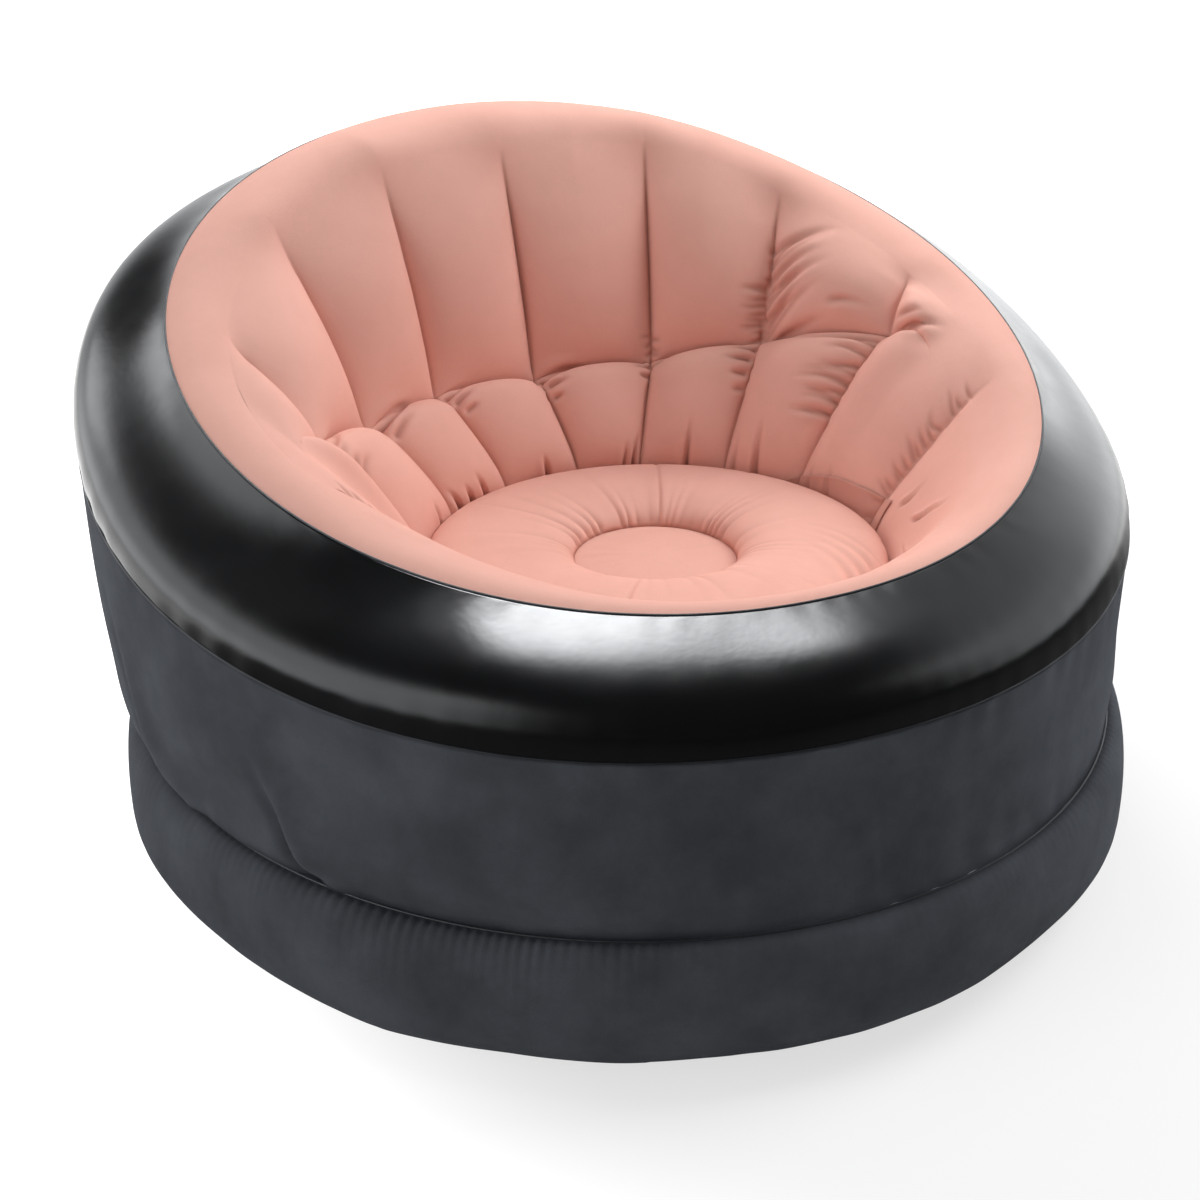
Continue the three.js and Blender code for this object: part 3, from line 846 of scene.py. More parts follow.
def chair_sheet(
    name: str, points: Array, slot: Slot, gauge: float = SKIN_GAUGE, **options: object
) -> bpy.types.Object:
    """Makes a sheet of the chair's own body, with its gauge inwards from its outer face.

    Args:
        name: the piece's name.
        points: (rows, columns, 3) points of its outer face.
        slot: its finish.
        gauge: its gauge.
        **options: what else `make_sheet` takes.

    Returns:
        The new object.
    """
    piece = make_sheet(name, points, **options)
    shell = piece.modifiers.new("gauge", "SOLIDIFY")
    shell.thickness = gauge
    shell.offset = -1
    shell.use_rim = True
    dressed(piece, slot)
    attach(piece, "chair")
    return piece


@dataclass
class Columns:
    """The section planes of a panel: their angles, and their place counted in seams."""

    theta: Array
    place: Array

    @classmethod
    def seamed(cls, channel: int, front: int, crowding: float = 0.55) -> "Columns":
        """Columns that crowd at the seams of the back, and run evenly round the front.

        Args:
            channel: how many lie in each channel.
            front: how many lie in the front, past the outermost seams.
            crowding: how much they crowd at the seams.

        Returns:
            The columns, from the first seam round to it again.
        """
        share = even_steps(channel + 1, crowding)[:-1]
        last = int(FORM.last_place)
        place = (np.arange(-last, last)[:, None] + share).reshape(-1)
        theta = 180 + FORM.seam_angle(place)
        rest = 180 + FORM.last_angle + np.arange(front) / front * (360 - 2 * FORM.last_angle)
        return cls(
            np.radians(np.concatenate([theta, rest])),
            np.concatenate([place, np.full(front, float(last))]),
        )

    @staticmethod
    def even(count: int) -> Array:
        """Angles of evenly spaced columns all round."""
        return np.arange(count) / count * TAU


@dataclass(frozen=True)
class Pinch:
    """A valley pinched into a sheet, with a soft roll beside it.

    The depth at a distance d from its line is depth * exp(-(d / width)^2), and the roll
    beside it is roll * exp(-((d - 2.4 width) / (1.7 width))^2). Both fade towards the ends.

    Attributes:
        path: points along it, each as (degrees round the sheet, row).
        depth: depth of the valley.
        width: half its width.
        roll: height of the roll beside it; a negative height puts it on the other side.
        sharp_start: whether it starts at full depth, as at a weld.
    """

    path: Spots
    depth: float
    width: float
    roll: float = 0.0
    sharp_start: bool = False

    STEPS = 14
    ROLL_PLACE = 2.4
    ROLL_WIDTH = 1.7
    REACH = 2.6
    ROLL_REACH = 4.5
    START_FADE = 0.35
    END_FADE = 0.75

    def pressed_and_shaded(self, line: Array, spot: Array, up: Array) -> tuple[Array, Array]:
        """How far the pinch moves points of the sheet.

        Args:
            line: (STEPS, 3) points along the pinch.
            spot: (count, 3) points of the sheet.
            up: (count, 3) their normals.

        Returns:
            The points' shifts along their normals, and how deeply each lies in the valley,
            0 to 1.
        """
        best = np.full(len(spot), np.inf)
        side = np.zeros(len(spot))
        share = np.zeros(len(spot))
        for k in range(self.STEPS - 1):
            run = line[k + 1] - line[k]
            along = np.clip((spot - line[k]) @ run / (run @ run), 0, 1)
            off = spot - line[k] - along[:, None] * run
            length = np.linalg.norm(off, axis=1)
            closer = length < best
            best = np.where(closer, length, best)
            turned = np.einsum("ij,ij->i", np.cross(run, off), up)
            side = np.where(closer, np.sign(turned), side)
            share = np.where(closer, (k + along) / (self.STEPS - 1), share)
        fade = smoothstep(1 - share, 0, self.END_FADE)
        if not self.sharp_start:
            fade = fade * smoothstep(share, 0, self.START_FADE)
        valley = near_line(best, self.width) * fade
        signed = best * side * np.sign(self.roll or 1)
        beside = signed - self.ROLL_PLACE * self.width
        roll = near_line(beside, self.ROLL_WIDTH * self.width) * fade
        return abs(self.roll) * roll - self.depth * valley, valley


def on_grid(points: Array, turn: Array, path: Array) -> Array:
    """Places on a grid of points, read between its rows and columns.

    Args:
        points: (rows, columns, 3) points.
        turn: (columns,) degrees of the columns, rising.
        path: (count, 2) degrees and rows.

    Returns:
        (count, 3) points.
    """
    column = np.interp(path[:, 0], turn, np.arange(len(turn)))
    row = np.clip(path[:, 1], 0, points.shape[0] - 1.001)
    c0, r0 = np.minimum(column.astype(int), len(turn) - 2), row.astype(int)
    fc, fr = (column - c0)[:, None], (row - r0)[:, None]
    low = points[r0, c0] * (1 - fc) + points[r0, c0 + 1] * fc
    high = points[r0 + 1, c0] * (1 - fc) + points[r0 + 1, c0 + 1] * fc
    return low * (1 - fr) + high * fr


def rounded_path(corners: Array, count: int) -> Array:
    """A smooth run through a few points: each coordinate is a Catmull-Rom curve.

    Args:
        corners: (few, 2) points to run through.
        count: number of points of the run.

    Returns:
        (count, 2) points.
    """
    before = 2 * corners[:1] - corners[1:2]
    after = 2 * corners[-1:] - corners[-2:-1]
    padded = np.concatenate([before, corners, after])
    t = np.linspace(0, len(corners) - 1 - 1e-6, count)
    i = t.astype(int)
    f = (t - i)[:, None]
    a, b, c, d = (padded[i + k] for k in range(4))
    square = (2 * a - 5 * b + 4 * c - d) * f**2
    cube = (3 * b - a - 3 * c + d) * f**3
    return 0.5 * (2 * b + (c - a) * f + square + cube)


def pinched(
    points: Array, turn: Array, pinches: list[Pinch], guard: float | Array = 1.0
) -> tuple[Array, Array]:
    """Presses pinches into a sheet along its normals, between its first and last rows.

    Args:
        points: (rows, columns, 3) points.
        turn: (columns,) degrees of the columns, rising.
        pinches: the pinches.
        guard: share of the depth that each point takes.

    Returns:
        The moved points, and how deeply each lies in a valley, 0 to 1, used as painted shade.
    """
    normals = grid_normals(points)
    flat, up = points.reshape(-1, 3), normals.reshape(-1, 3)
    shift = np.zeros(len(flat))
    deep = np.zeros(len(flat))
    for pinch in pinches:
        path = rounded_path(np.array(pinch.path, float), pinch.STEPS)
        line = on_grid(points, turn, path)
        reach = pinch.width * (pinch.ROLL_REACH if pinch.roll else pinch.REACH)
        box = ((flat > line.min(0) - reach) & (flat < line.max(0) + reach)).all(1)
        near = np.nonzero(box)[0]
        moved, valley = pinch.pressed_and_shaded(line, flat[near], up[near])
        shift[near] += moved
        deep[near] = np.maximum(deep[near], valley)
    shift = shift.reshape(points.shape[:2]) * guard
    return points + normals * shift[..., None], deep.reshape(points.shape[:2])


class Zone(Enum):
    """The two zones of the bowl's wall, above and below the fold line."""

    BACK = "back"
    BOLSTER = "bolster"


@dataclass(frozen=True)
class Drift:
    """How far a seam of the photographed chair lies from its mirrored place.

    Attributes:
        place: the seam, counted from the middle of the back.
        top: slide of its upper end up the collar.
        top_turn: turn of that end round the seat axis, in degrees.
        fold: slide of its crossing with the fold, down the back.
        fold_turn: turn of that crossing round the seat axis, in degrees.
        seat_turn: turn of its lower end, in degrees.
    """

    place: float
    top: float
    top_turn: float
    fold: float
    fold_turn: float
    seat_turn: float


DRIFTS = (
    Drift(-4, 0.0, 0.0, -0.030, 0.0, 1.5),
    Drift(-3, -0.017, 0.0, -0.020, -2.25, 3.8),
    Drift(-2, -0.012, 0.0, -0.014, -1.5, 1.0),
    Drift(-1, 0.010, -1.0, -0.006, -2.5, 1.0),
    Drift(0, -0.010, 0.5, -0.003, 0.25, -5.0),
    Drift(1, 0.0, -0.8, -0.001, 1.25, -5.4),
    Drift(2, 0.012, -3.0, 0.022, 0.5, -6.5),
    Drift(3, 0.010, -5.0, 0.010, 5.0, -4.0),
    Drift(4, 0.0, -1.0, 0.0, 1.0, -1.0),
)

# Creases that start where a seam crosses the fold: (place, share) spots, depth and half width.
JUNCTION_CREASES = (
    (((1.97, 0.07), (1.66, 0.045), (1.35, 0.01)), 0.0075, 0.0042),
    (((1.93, 0.19), (1.76, 0.15), (1.56, 0.13)), 0.0050, 0.0036),
    (((0.97, 0.07), (0.84, 0.05), (0.70, 0.02)), 0.0060, 0.0032),
    (((0.95, 0.15), (0.84, 0.12), (0.70, 0.10)), 0.0050, 0.0032),
    (((0.93, 0.25), (0.86, 0.24), (0.78, 0.23)), 0.0034, 0.0028),
    (((-0.02, 0.06), (-0.24, 0.035), (-0.50, 0.006)), 0.0070, 0.0038),
    (((-0.05, 0.15), (-0.15, 0.15), (-0.27, 0.16)), 0.0044, 0.0030),
    (((-0.05, 0.27), (-0.10, 0.27), (-0.16, 0.28)), 0.0032, 0.0026),
    (((-1.02, 0.06), (-1.11, 0.04), (-1.24, 0.02)), 0.0060, 0.0030),
    (((-0.98, 0.07), (-0.90, 0.07), (-0.80, 0.08)), 0.0042, 0.0028),
    (((-0.98, 0.16), (-0.94, 0.17), (-0.88, 0.18)), 0.0034, 0.0026),
    (((-1.97, 0.06), (-1.88, 0.06), (-1.74, 0.07)), 0.0058, 0.0030),
    (((-1.96, 0.15), (-1.84, 0.16), (-1.68, 0.17)), 0.0058, 0.0032),
    (((-1.96, 0.26), (-1.88, 0.27), (-1.78, 0.28)), 0.0044, 0.0030),
    (((-1.97, 0.37), (-1.92, 0.38), (-1.86, 0.38)), 0.0030, 0.0028),
    (((2.97, 0.08), (2.80, 0.05), (2.62, 0.02)), 0.0050, 0.0036),
)

# Darts that stand on the seat seam: (place, share) spots and depth.
DARTS = (
    (((-1.56, 0.995), (-1.55, 0.80), (-1.53, 0.56)), 0.0062),
    (((-2.44, 0.995), (-2.40, 0.80), (-2.35, 0.56)), 0.0060),
    (((-2.12, 0.995), (-2.11, 0.85), (-2.10, 0.66)), 0.0026),
    (((-0.88, 0.995), (-0.92, 0.82), (-0.96, 0.62)), 0.0060),
    (((-0.74, 0.995), (-0.77, 0.86), (-0.80, 0.72)), 0.0040),
    (((0.42, 0.995), (0.43, 0.88), (0.44, 0.76)), 0.0050),
    (((1.36, 0.995), (1.42, 0.88), (1.52, 0.74)), 0.0060),
    (((1.60, 0.995), (1.66, 0.90), (1.74, 0.78)), 0.0056),
    (((1.82, 0.995), (1.88, 0.88), (1.96, 0.72)), 0.0056),
    (((2.30, 0.995), (2.36, 0.88), (2.44, 0.74)), 0.0050),
    (((-3.40, 0.995), (-3.37, 0.88), (-3.33, 0.78)), 0.0030),
    (((-3.15, 0.995), (-3.13, 0.90), (-3.10, 0.80)), 0.0026),
)

# Loose creases of the back: (place, share) spots, depth, half width and the roll beside them.
LOOSE_CREASES = (
    (((-2.02, 1.0), (-2.28, 0.93), (-2.62, 0.80)), 0.0058, 0.0050, 0.0022),
    (
        ((-3.02, 0.995), (-3.23, 0.92), (-3.37, 0.60), (-3.47, 0.23)),
        0.0100,
        0.0046,
        -0.0030,
    ),
    (((-2.50, 0.74), (-2.68, 0.68), (-2.90, 0.70)), 0.0044, 0.0044, -0.0020),
    (((-3.01, 0.80), (-3.20, 0.66), (-3.30, 0.42)), 0.0034, 0.0044, 0.0012),
)

# Creases of the wall right in front: (degrees, zone, share) spots and depth.
FRONT_CREASES = (
    (
        ((253.0, Zone.BOLSTER, 0.60), (251.0, Zone.BOLSTER, 0.40), (250.5, Zone.BOLSTER, 0.12)),
        0.0044,
    ),
    (
        ((245.0, Zone.BOLSTER, 0.52), (240.5, Zone.BOLSTER, 0.20), (234.9, Zone.BACK, 0.42)),
        0.0048,
    ),
    (
        ((240.0, Zone.BOLSTER, 0.68), (229.0, Zone.BOLSTER, 0.35), (218.0, Zone.BACK, 0.10)),
        0.0034,
    ),
)


@dataclass(frozen=True)
class Fan:
    """A row of puckers that run out from a seam, uneven in place, length and depth.

    Attributes:
        zone: the sheet's zone.
        seam: place of the seam.
        side: -1 or 1, towards smaller or larger places.
        start: share of the first pucker down the zone.
        gap: share between puckers.
        count: number of puckers.
        span: length of the longest, in places.
        depth: depth of the deepest.
        width: half width of the widest.
        climb: share by which the far end lies higher.
        seed: seed of the unevenness.
    """

    zone: Zone
    seam: int
    side: int
    start: float
    gap: float
    count: int
    span: float
    depth: float
    width: float
    climb: float
    seed: int

    # How the puckers may vary, where they may lie in the zone, and how they start and roll.
    PLACES = (-0.28, 0.28)
    LENGTHS = (0.45, 1.0)
    SIZES = (0.55, 1.0)
    CLIMBS = (0.6, 1.5)
    BOWS = (-0.3, 0.5)
    SHARES = (0.006, 0.992)
    FIRST = 0.012
    ROLL = 0.3

    def puckers(self) -> list[tuple[list[Pair], float, float, float]]:
        """Draws the puckers, each as (place, share) spots, depth, half width and roll.

        Returns:
            The puckers, from the first down.
        """
        draw = np.random.default_rng(self.seed)
        made = []
        for k in range(self.count):
            share = self.start + self.gap * (k + draw.uniform(*self.PLACES))
            length = self.span * draw.uniform(*self.LENGTHS)
            size = draw.uniform(*self.SIZES)
            lift = self.climb * draw.uniform(*self.CLIMBS)
            bow = draw.uniform(*self.BOWS) * self.gap
            middle = (length * 0.5, share - 0.5 * lift + bow)
            spots = [
                (self.seam + self.side * place, min(max(at, self.SHARES[0]), self.SHARES[1]))
                for place, at in ((self.FIRST, share), middle, (length, share - lift))
            ]
            deep, wide = self.depth * size, self.width * (0.7 + 0.4 * size)
            made.append((spots, deep, wide, self.ROLL * deep * self.side))
        return made


FANS = (
    Fan(Zone.BACK, -1, -1, 0.88, 0.04, 3, 0.14, 0.0024, 0.0030, 0.0, 140),
    Fan(Zone.BACK, -1, 1, 0.86, 0.04, 3, 0.12, 0.0024, 0.0030, 0.0, 141),
    Fan(Zone.BACK, -2, -1, 0.40, 0.052, 12, 0.52, 0.0062, 0.0050, 0.33, 143),
    Fan(Zone.BACK, -2, 1, 0.62, 0.042, 9, 0.26, 0.0034, 0.0034, -0.01, 144),
    Fan(Zone.BOLSTER, -3, 1, 0.04, 0.060, 9, 0.80, 0.0056, 0.0031, -0.015, 147),
    Fan(Zone.BOLSTER, 3, -1, 0.06, 0.09, 4, 0.3, 0.0028, 0.0040, 0.04, 149),
    Fan(Zone.BOLSTER, -4, 1, 0.03, 0.075, 12, 0.2, 0.0021, 0.0028, 0.01, 149),
    Fan(Zone.BACK, -4, 1, 0.35, 0.16, 4, 0.18, 0.0022, 0.0028, 0.02, 151),
    Fan(Zone.BACK, 4, -1, 0.35, 0.16, 4, 0.18, 0.0022, 0.0028, 0.02, 153),
)


@dataclass(frozen=True)
class BowlLines:
    """The lines that the bowl's sheet is drawn between, each as (columns, 2) section points."""

    rim: Array
    top: Array
    fold: Array
    seat: Array


@dataclass
class Bowl:
    """The pink sheet from the rim seam over the collar and down the back to the seat seam."""

    back_swell: float = 0.036
    back_hump: Hump = Hump(0.55, (1.8, 1.0), (2.4, 0.62))
    back_firm: float = 0.28
    bolster_swell: float = 0.027
    bolster_hump: Hump = Hump(0.3, (3.0, 0.52), (2.2, 0.6))
    bolster_lift: float = 0.012
    bolster_overhang: float = 0.010
    overhang_peak: float = 0.12
    fold_arch: float = 0.003
    open_share: float = 0.19
    open_drop: float = 0.23
    open_blend: Pair = (84.0, 100.0)
    open_swell: float = 0.026
    open_hump: Hump = Hump(0.5, (1.8, 1.0), (2.2, 0.6))
    open_lift: float = 0.008
    open_firm: float = 0.2
    left_full: Bell = Bell(0.014, 118.0, 30.0)
    left_skew: float = 0.8
    flatter: Bell = Bell(0.7, 3.5, 0.42)
    roundness: float = 0.56
    end_width: float = 0.7
    drift_fade: float = 45.0
    collar_handle: float = 0.36
    collar_climb: float = 0.42
    collar_roll: float = 1.1
    collar_evening: int = 12
    collar_rows: int = 30
    back_rows: int = 96
    bolster_rows: int = 80
    ink: Bell = Bell(0.72, -0.6, 1.5)
    faint_ink: float = 0.18
    seam_width: float = 0.0026
    weld_width: float = 0.004
    seam_start: int = 12
    # Painted shade: share of the darker crease colour in the pinches' valleys.
    crease_shade: float = 0.7
    junction_scale: tuple[float, float, float] = (1.25, 1.15, 0.35)
    dart_scale: Pair = (1.3, 0.3)
    dart_width: float = 0.0029
    front_width: float = 0.0021
    front_roll: float = 0.5
    columns: Columns = field(default_factory=lambda: Columns.seamed(46, 230))

    @property
    def top_row(self) -> int:
        """The row of the seam-top line."""
        return self.collar_rows - 1

    @property
    def fold_row(self) -> int:
        """The row of the fold line."""
        return self.top_row + self.back_rows - 1

    @property
    def steps(self) -> dict[Zone, Array]:
        """Shares of the chord at which the rows of the back and the bolster lie.

        Returns:
            (rows,) shares for each zone.
        """
        return {
            Zone.BACK: even_steps(self.back_rows, 0.35),
            Zone.BOLSTER: even_steps(self.bolster_rows, 0.75),
        }

    def turn(self) -> Array:
        """Degrees of each column from the middle of the back, rising all the way round."""
        return np.degrees(self.columns.theta) - 180

    def row(self, zone: Zone, share: float) -> float:
        """The row at a share of the way down the back or the bolster."""
        first = self.fold_row if zone is Zone.BOLSTER else self.top_row
        shares = self.steps[zone]
        return first + float(np.interp(share, shares, np.arange(len(shares))))

    def channel(self, roundness: Array) -> Array:
        """The swell across the channels: (1 - u^2) to the power of each row's roundness.

        It dies out past the outermost seams.

        Args:
            roundness: (rows,) powers.

        Returns:
            (rows, columns) shares of the swell.
        """
        place, theta = self.columns.place, self.columns.theta
        across = (place - np.floor(place)) * 2 - 1
        outside = np.abs(place) >= FORM.last_place
        beyond = FORM.from_back(theta) - FORM.last_angle
        past = np.clip(beyond / (FORM.seam_step * self.end_width), 0, 1)
        base = np.where(outside, 1 - (1 - past) ** 2, np.clip(1 - across**2, 0, 1))
        tail = np.where(outside, 1 - FORM.at_front(theta), 1)
        return base[None] ** roundness[:, None] * tail

    def firmed(self, share: Array, reach: float) -> Array:
        """Roundness of each row: 1 at the seam-top line, and its own from `reach` down."""
        return self.roundness + (1 - self.roundness) * (1 - smoothstep(share, 0, reach))

    def drift(self, key: str) -> Array:
        """A drift of each column: read between the seams, and fading past the outermost.

        Args:
            key: the drift's field.

        Returns:
            (columns,) values.
        """
        places = [entry.place for entry in DRIFTS]
        values = [getattr(entry, key) for entry in DRIFTS]
        signed = (self.turn() + 180) % 360 - 180
        last = FORM.last_angle
        outside = np.abs(signed) >= last
        place = np.where(outside, np.sign(signed) * FORM.last_place, self.columns.place)
        fade = 1 - smoothstep(np.abs(signed), last, last + self.drift_fade)
        return np.interp(place, places, values) * fade

    def lines(self) -> BowlLines:
        """The rim, seam-top, fold and seat lines of the sheet.

        Returns:
            The lines, with the seams' drifts in them.
        """
        theta = self.columns.theta
        rim = FORM.line(FORM.rim, theta)
        top = FORM.line(FORM.seam_top, theta)
        fold = FORM.line(FORM.fold, theta)
        turn = np.radians(FORM.from_back(theta))
        fold[:, 1] += FORM.fold_side_height * (1 - np.cos(turn))
        fold[:, 1] += self.fold_arch * self.channel(np.array([self.roundness]))[0]
        down = unit(fold - top)
        slide = self.drift("top")[:, None]
        top = top + unit(rim - top) * np.maximum(slide, 0) + down * np.maximum(-slide, 0)
        fold = fold + down * self.drift("fold")[:, None]
        seat = np.broadcast_to([FORM.seat_radius, FORM.seat_height], top.shape)
        return BowlLines(rim, top, fold, seat)

    def folded_wall(self, lines: BowlLines) -> Array:
        """The back and the bolster: chords between the lines, pushed out by their swells.

        The bolster also has an arch, 1 - (2t - 1)^4, and its pillows lean back over the
        fold by sqrt(t / p) * exp((1 - t / p) / 2), which is fullest at its peak p.

        Args:
            lines: the sheet's lines.

        Returns:
            (rows, columns, 2) section points.
        """
        s, t = self.steps[Zone.BACK], self.steps[Zone.BOLSTER]
        calm = 1 - self.flatter.at(self.columns.place)
        swell = self.channel(self.firmed(s, self.back_firm))
        hump = self.back_hump.at(s)[:, None] * self.back_swell * swell * calm
        back = raised(lines.top, lines.fold, s[:, None], hump)

        swell = self.channel(np.full(len(t), self.roundness))
        pillow = self.bolster_hump.at(t)[:, None] * self.bolster_swell * swell * calm
        arch = (1 - (2 * t - 1) ** 4)[:, None] * self.bolster_lift
        bolster = raised(lines.fold, lines.seat, t[:, None], pillow + arch)
        way = t / self.overhang_peak
        lean = np.sqrt(way) * np.exp(0.5 - way / 2) * self.bolster_overhang
        along = unit(lines.seat - lines.fold)
        return np.concatenate([back, (bolster - along * (lean[:, None] * swell)[..., None])[1:]])

    def open_wall(self, lines: BowlLines) -> Array:
        """The wall past the fold's ends: one swollen chord from the seam top to the seat.

        Args:
            lines: the sheet's lines.

        Returns:
            (rows, columns, 2) section points.
        """
        s, t = self.steps[Zone.BACK], self.steps[Zone.BOLSTER]
        sunk = smoothstep(FORM.from_back(self.columns.theta), *self.open_blend)
        part = self.open_share + self.open_drop * sunk
        w = np.concatenate([s[:, None] * part, part + (1 - part) * t[1:, None]])
        even = np.concatenate([s * part.max(), part.max() + (1 - part.max()) * t[1:]])
        swell = self.channel(self.firmed(even, self.open_firm))
        calm = 1 - self.flatter.at(self.columns.place)
        hump = self.open_hump.at(w) * self.open_swell * swell * calm
        return raised(lines.top, lines.seat, w, hump + (1 - (2 * w - 1) ** 4) * self.open_lift)

    def smooth_surface(self) -> Array:
        """The sheet's points before it is pinched.

        The folded wall opens past the fold's ends. The collar is one Bezier curve from the
        rim, which meets the wall in its own direction.

        Returns:
            (rows, columns, 3) points.
        """
        lines = self.lines()
        blend = FORM.opened(self.columns.theta)[:, None]
        wall = self.folded_wall(lines) * (1 - blend) + self.open_wall(lines) * blend

        into = unit(evened(wall[1] - wall[0], self.collar_evening))
        width = np.linalg.norm(lines.top - lines.rim, axis=-1)
        handle = (width * self.collar_handle)[:, None]
        up = unit(np.stack([-np.ones_like(width), np.full_like(width, self.collar_climb)], -1))
        c = even_steps(self.collar_rows, 0.2)
        leave = lines.rim + up * handle
        arrive = lines.top - into * handle * self.collar_roll
        collar = bezier(lines.rim, leave, arrive, lines.top, c)

        s, t = self.steps[Zone.BACK][:, None], self.steps[Zone.BOLSTER][1:, None]
        at_top, at_fold, at_seat = map(self.drift, ("top_turn", "fold_turn", "seat_turn"))
        turned = np.concatenate(
            [
                at_top * smoothstep(c[:-1, None], 0, 1),
                at_top * (1 - s) + at_fold * s,
                at_fold * (1 - t) + at_seat * t,
            ]
        )
        section = np.concatenate([collar[:-1], wall])
        points = FORM.in_space(section, self.columns.theta + np.radians(turned))
        walked = steps_along(points)
        full = np.sin(np.pi * (walked / walked[-1]) ** self.left_skew) ** 2
        return points + grid_normals(points) * (full * self.left_full.at(self.turn()))[..., None]

    def pinch(
        self,
        zone: Zone,
        spots: Spots | list[Pair],
        depth: float,
        width: float,
        roll: float = 0.0,
        sharp: bool = False,
    ) -> Pinch:
        """A pinch from (place, share) spots in one zone of the sheet."""
        path = tuple((FORM.seam_angle(place), self.row(zone, share)) for place, share in spots)
        return Pinch(path, depth, width, roll, sharp)

    def pinches(self) -> list[Pinch]:
        """The puckers of the fold, the ridges beside seams, the darts and the loose creases.

        Returns:
            All the sheet's pinches.
        """
        made: list[Pinch] = []
        deeper, wider, roll = self.junction_scale
        for spots, depth, width in JUNCTION_CREASES:
            made.append(
                self.pinch(Zone.BOLSTER, spots, deeper * depth, wider * width, roll * depth, True)
            )
        deeper, roll = self.dart_scale
        for spots, depth in DARTS:
            made.append(
                self.pinch(Zone.BOLSTER, spots, deeper * depth, self.dart_width, roll * depth, True)
            )
        for spots, depth, width, roll in LOOSE_CREASES:
            made.append(self.pinch(Zone.BACK, spots, depth, width, roll))
        for fan in FANS:
            made += [self.pinch(fan.zone, *pucker, True) for pucker in fan.puckers()]
        for spots, depth in FRONT_CREASES:
            path = tuple((turn, self.row(zone, share)) for turn, zone, share in spots)
            made.append(Pinch(path, depth, self.front_width, self.front_roll * depth))
        return made

    def surface(self) -> tuple[Array, Array]:
        """The finished sheet, pinched between its welds.

        Returns:
            (rows, columns, 3) points, and crease values, 0 to 1.
        """
        smooth = self.smooth_surface()
        points, deep = pinched(smooth, self.turn(), self.pinches())
        points[0], points[-1] = smooth[0], smooth[-1]
        # Painted shade in the pinches' valleys, over the darker welds.
        return points, np.maximum(self.crease(smooth), self.crease_shade * deep)

    def crease(self, points: Array) -> Array:
        """Closeness to a weld: 1 on a seam or the fold line, dying out over a few mm.

        The seams are darkest by the middle of the back and faint at the sides.

        Args:
            points: (rows, columns, 3) points of the sheet.

        Returns:
            (rows, columns) values, 0 to 1.
        """
        place = self.columns.place
        arc = np.abs(FORM.seam_angle(place) - FORM.seam_angle(np.round(place)))
        reach = np.linalg.norm(points[..., :2] - [0, FORM.axis_y], axis=-1)
        inked = self.faint_ink + self.ink.at(place)
        near = near_line(np.radians(arc) * reach, self.seam_width) * inked
        beyond = self.columns.theta > np.radians(180 + FORM.last_angle) + 1e-6
        near = np.where(beyond | (np.abs(place - np.round(place)) > 0.4), 0, near)
        near[: self.top_row] = 0
        start = slice(self.top_row, self.top_row + self.seam_start)
        near[start] *= np.linspace(0, 1, self.seam_start)[:, None]
        walked = steps_along(points)
        at_fold = near_line(walked - walked[self.fold_row], self.weld_width)
        at_fold = at_fold * (1 - FORM.opened(self.columns.theta)) ** 2
        at_seat = near_line(walked - walked[-1], self.weld_width)
        return np.clip(np.maximum(np.maximum(near, at_fold), at_seat), 0, 1)

    def build(self) -> bpy.types.Object:
        """Makes the sheet and dresses it.

        Returns:
            The new object.
        """
        points, crease = self.surface()
        piece = chair_sheet("bowl", points, Slot.PINK, crease=crease)
        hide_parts("bowl_panel")
        return piece


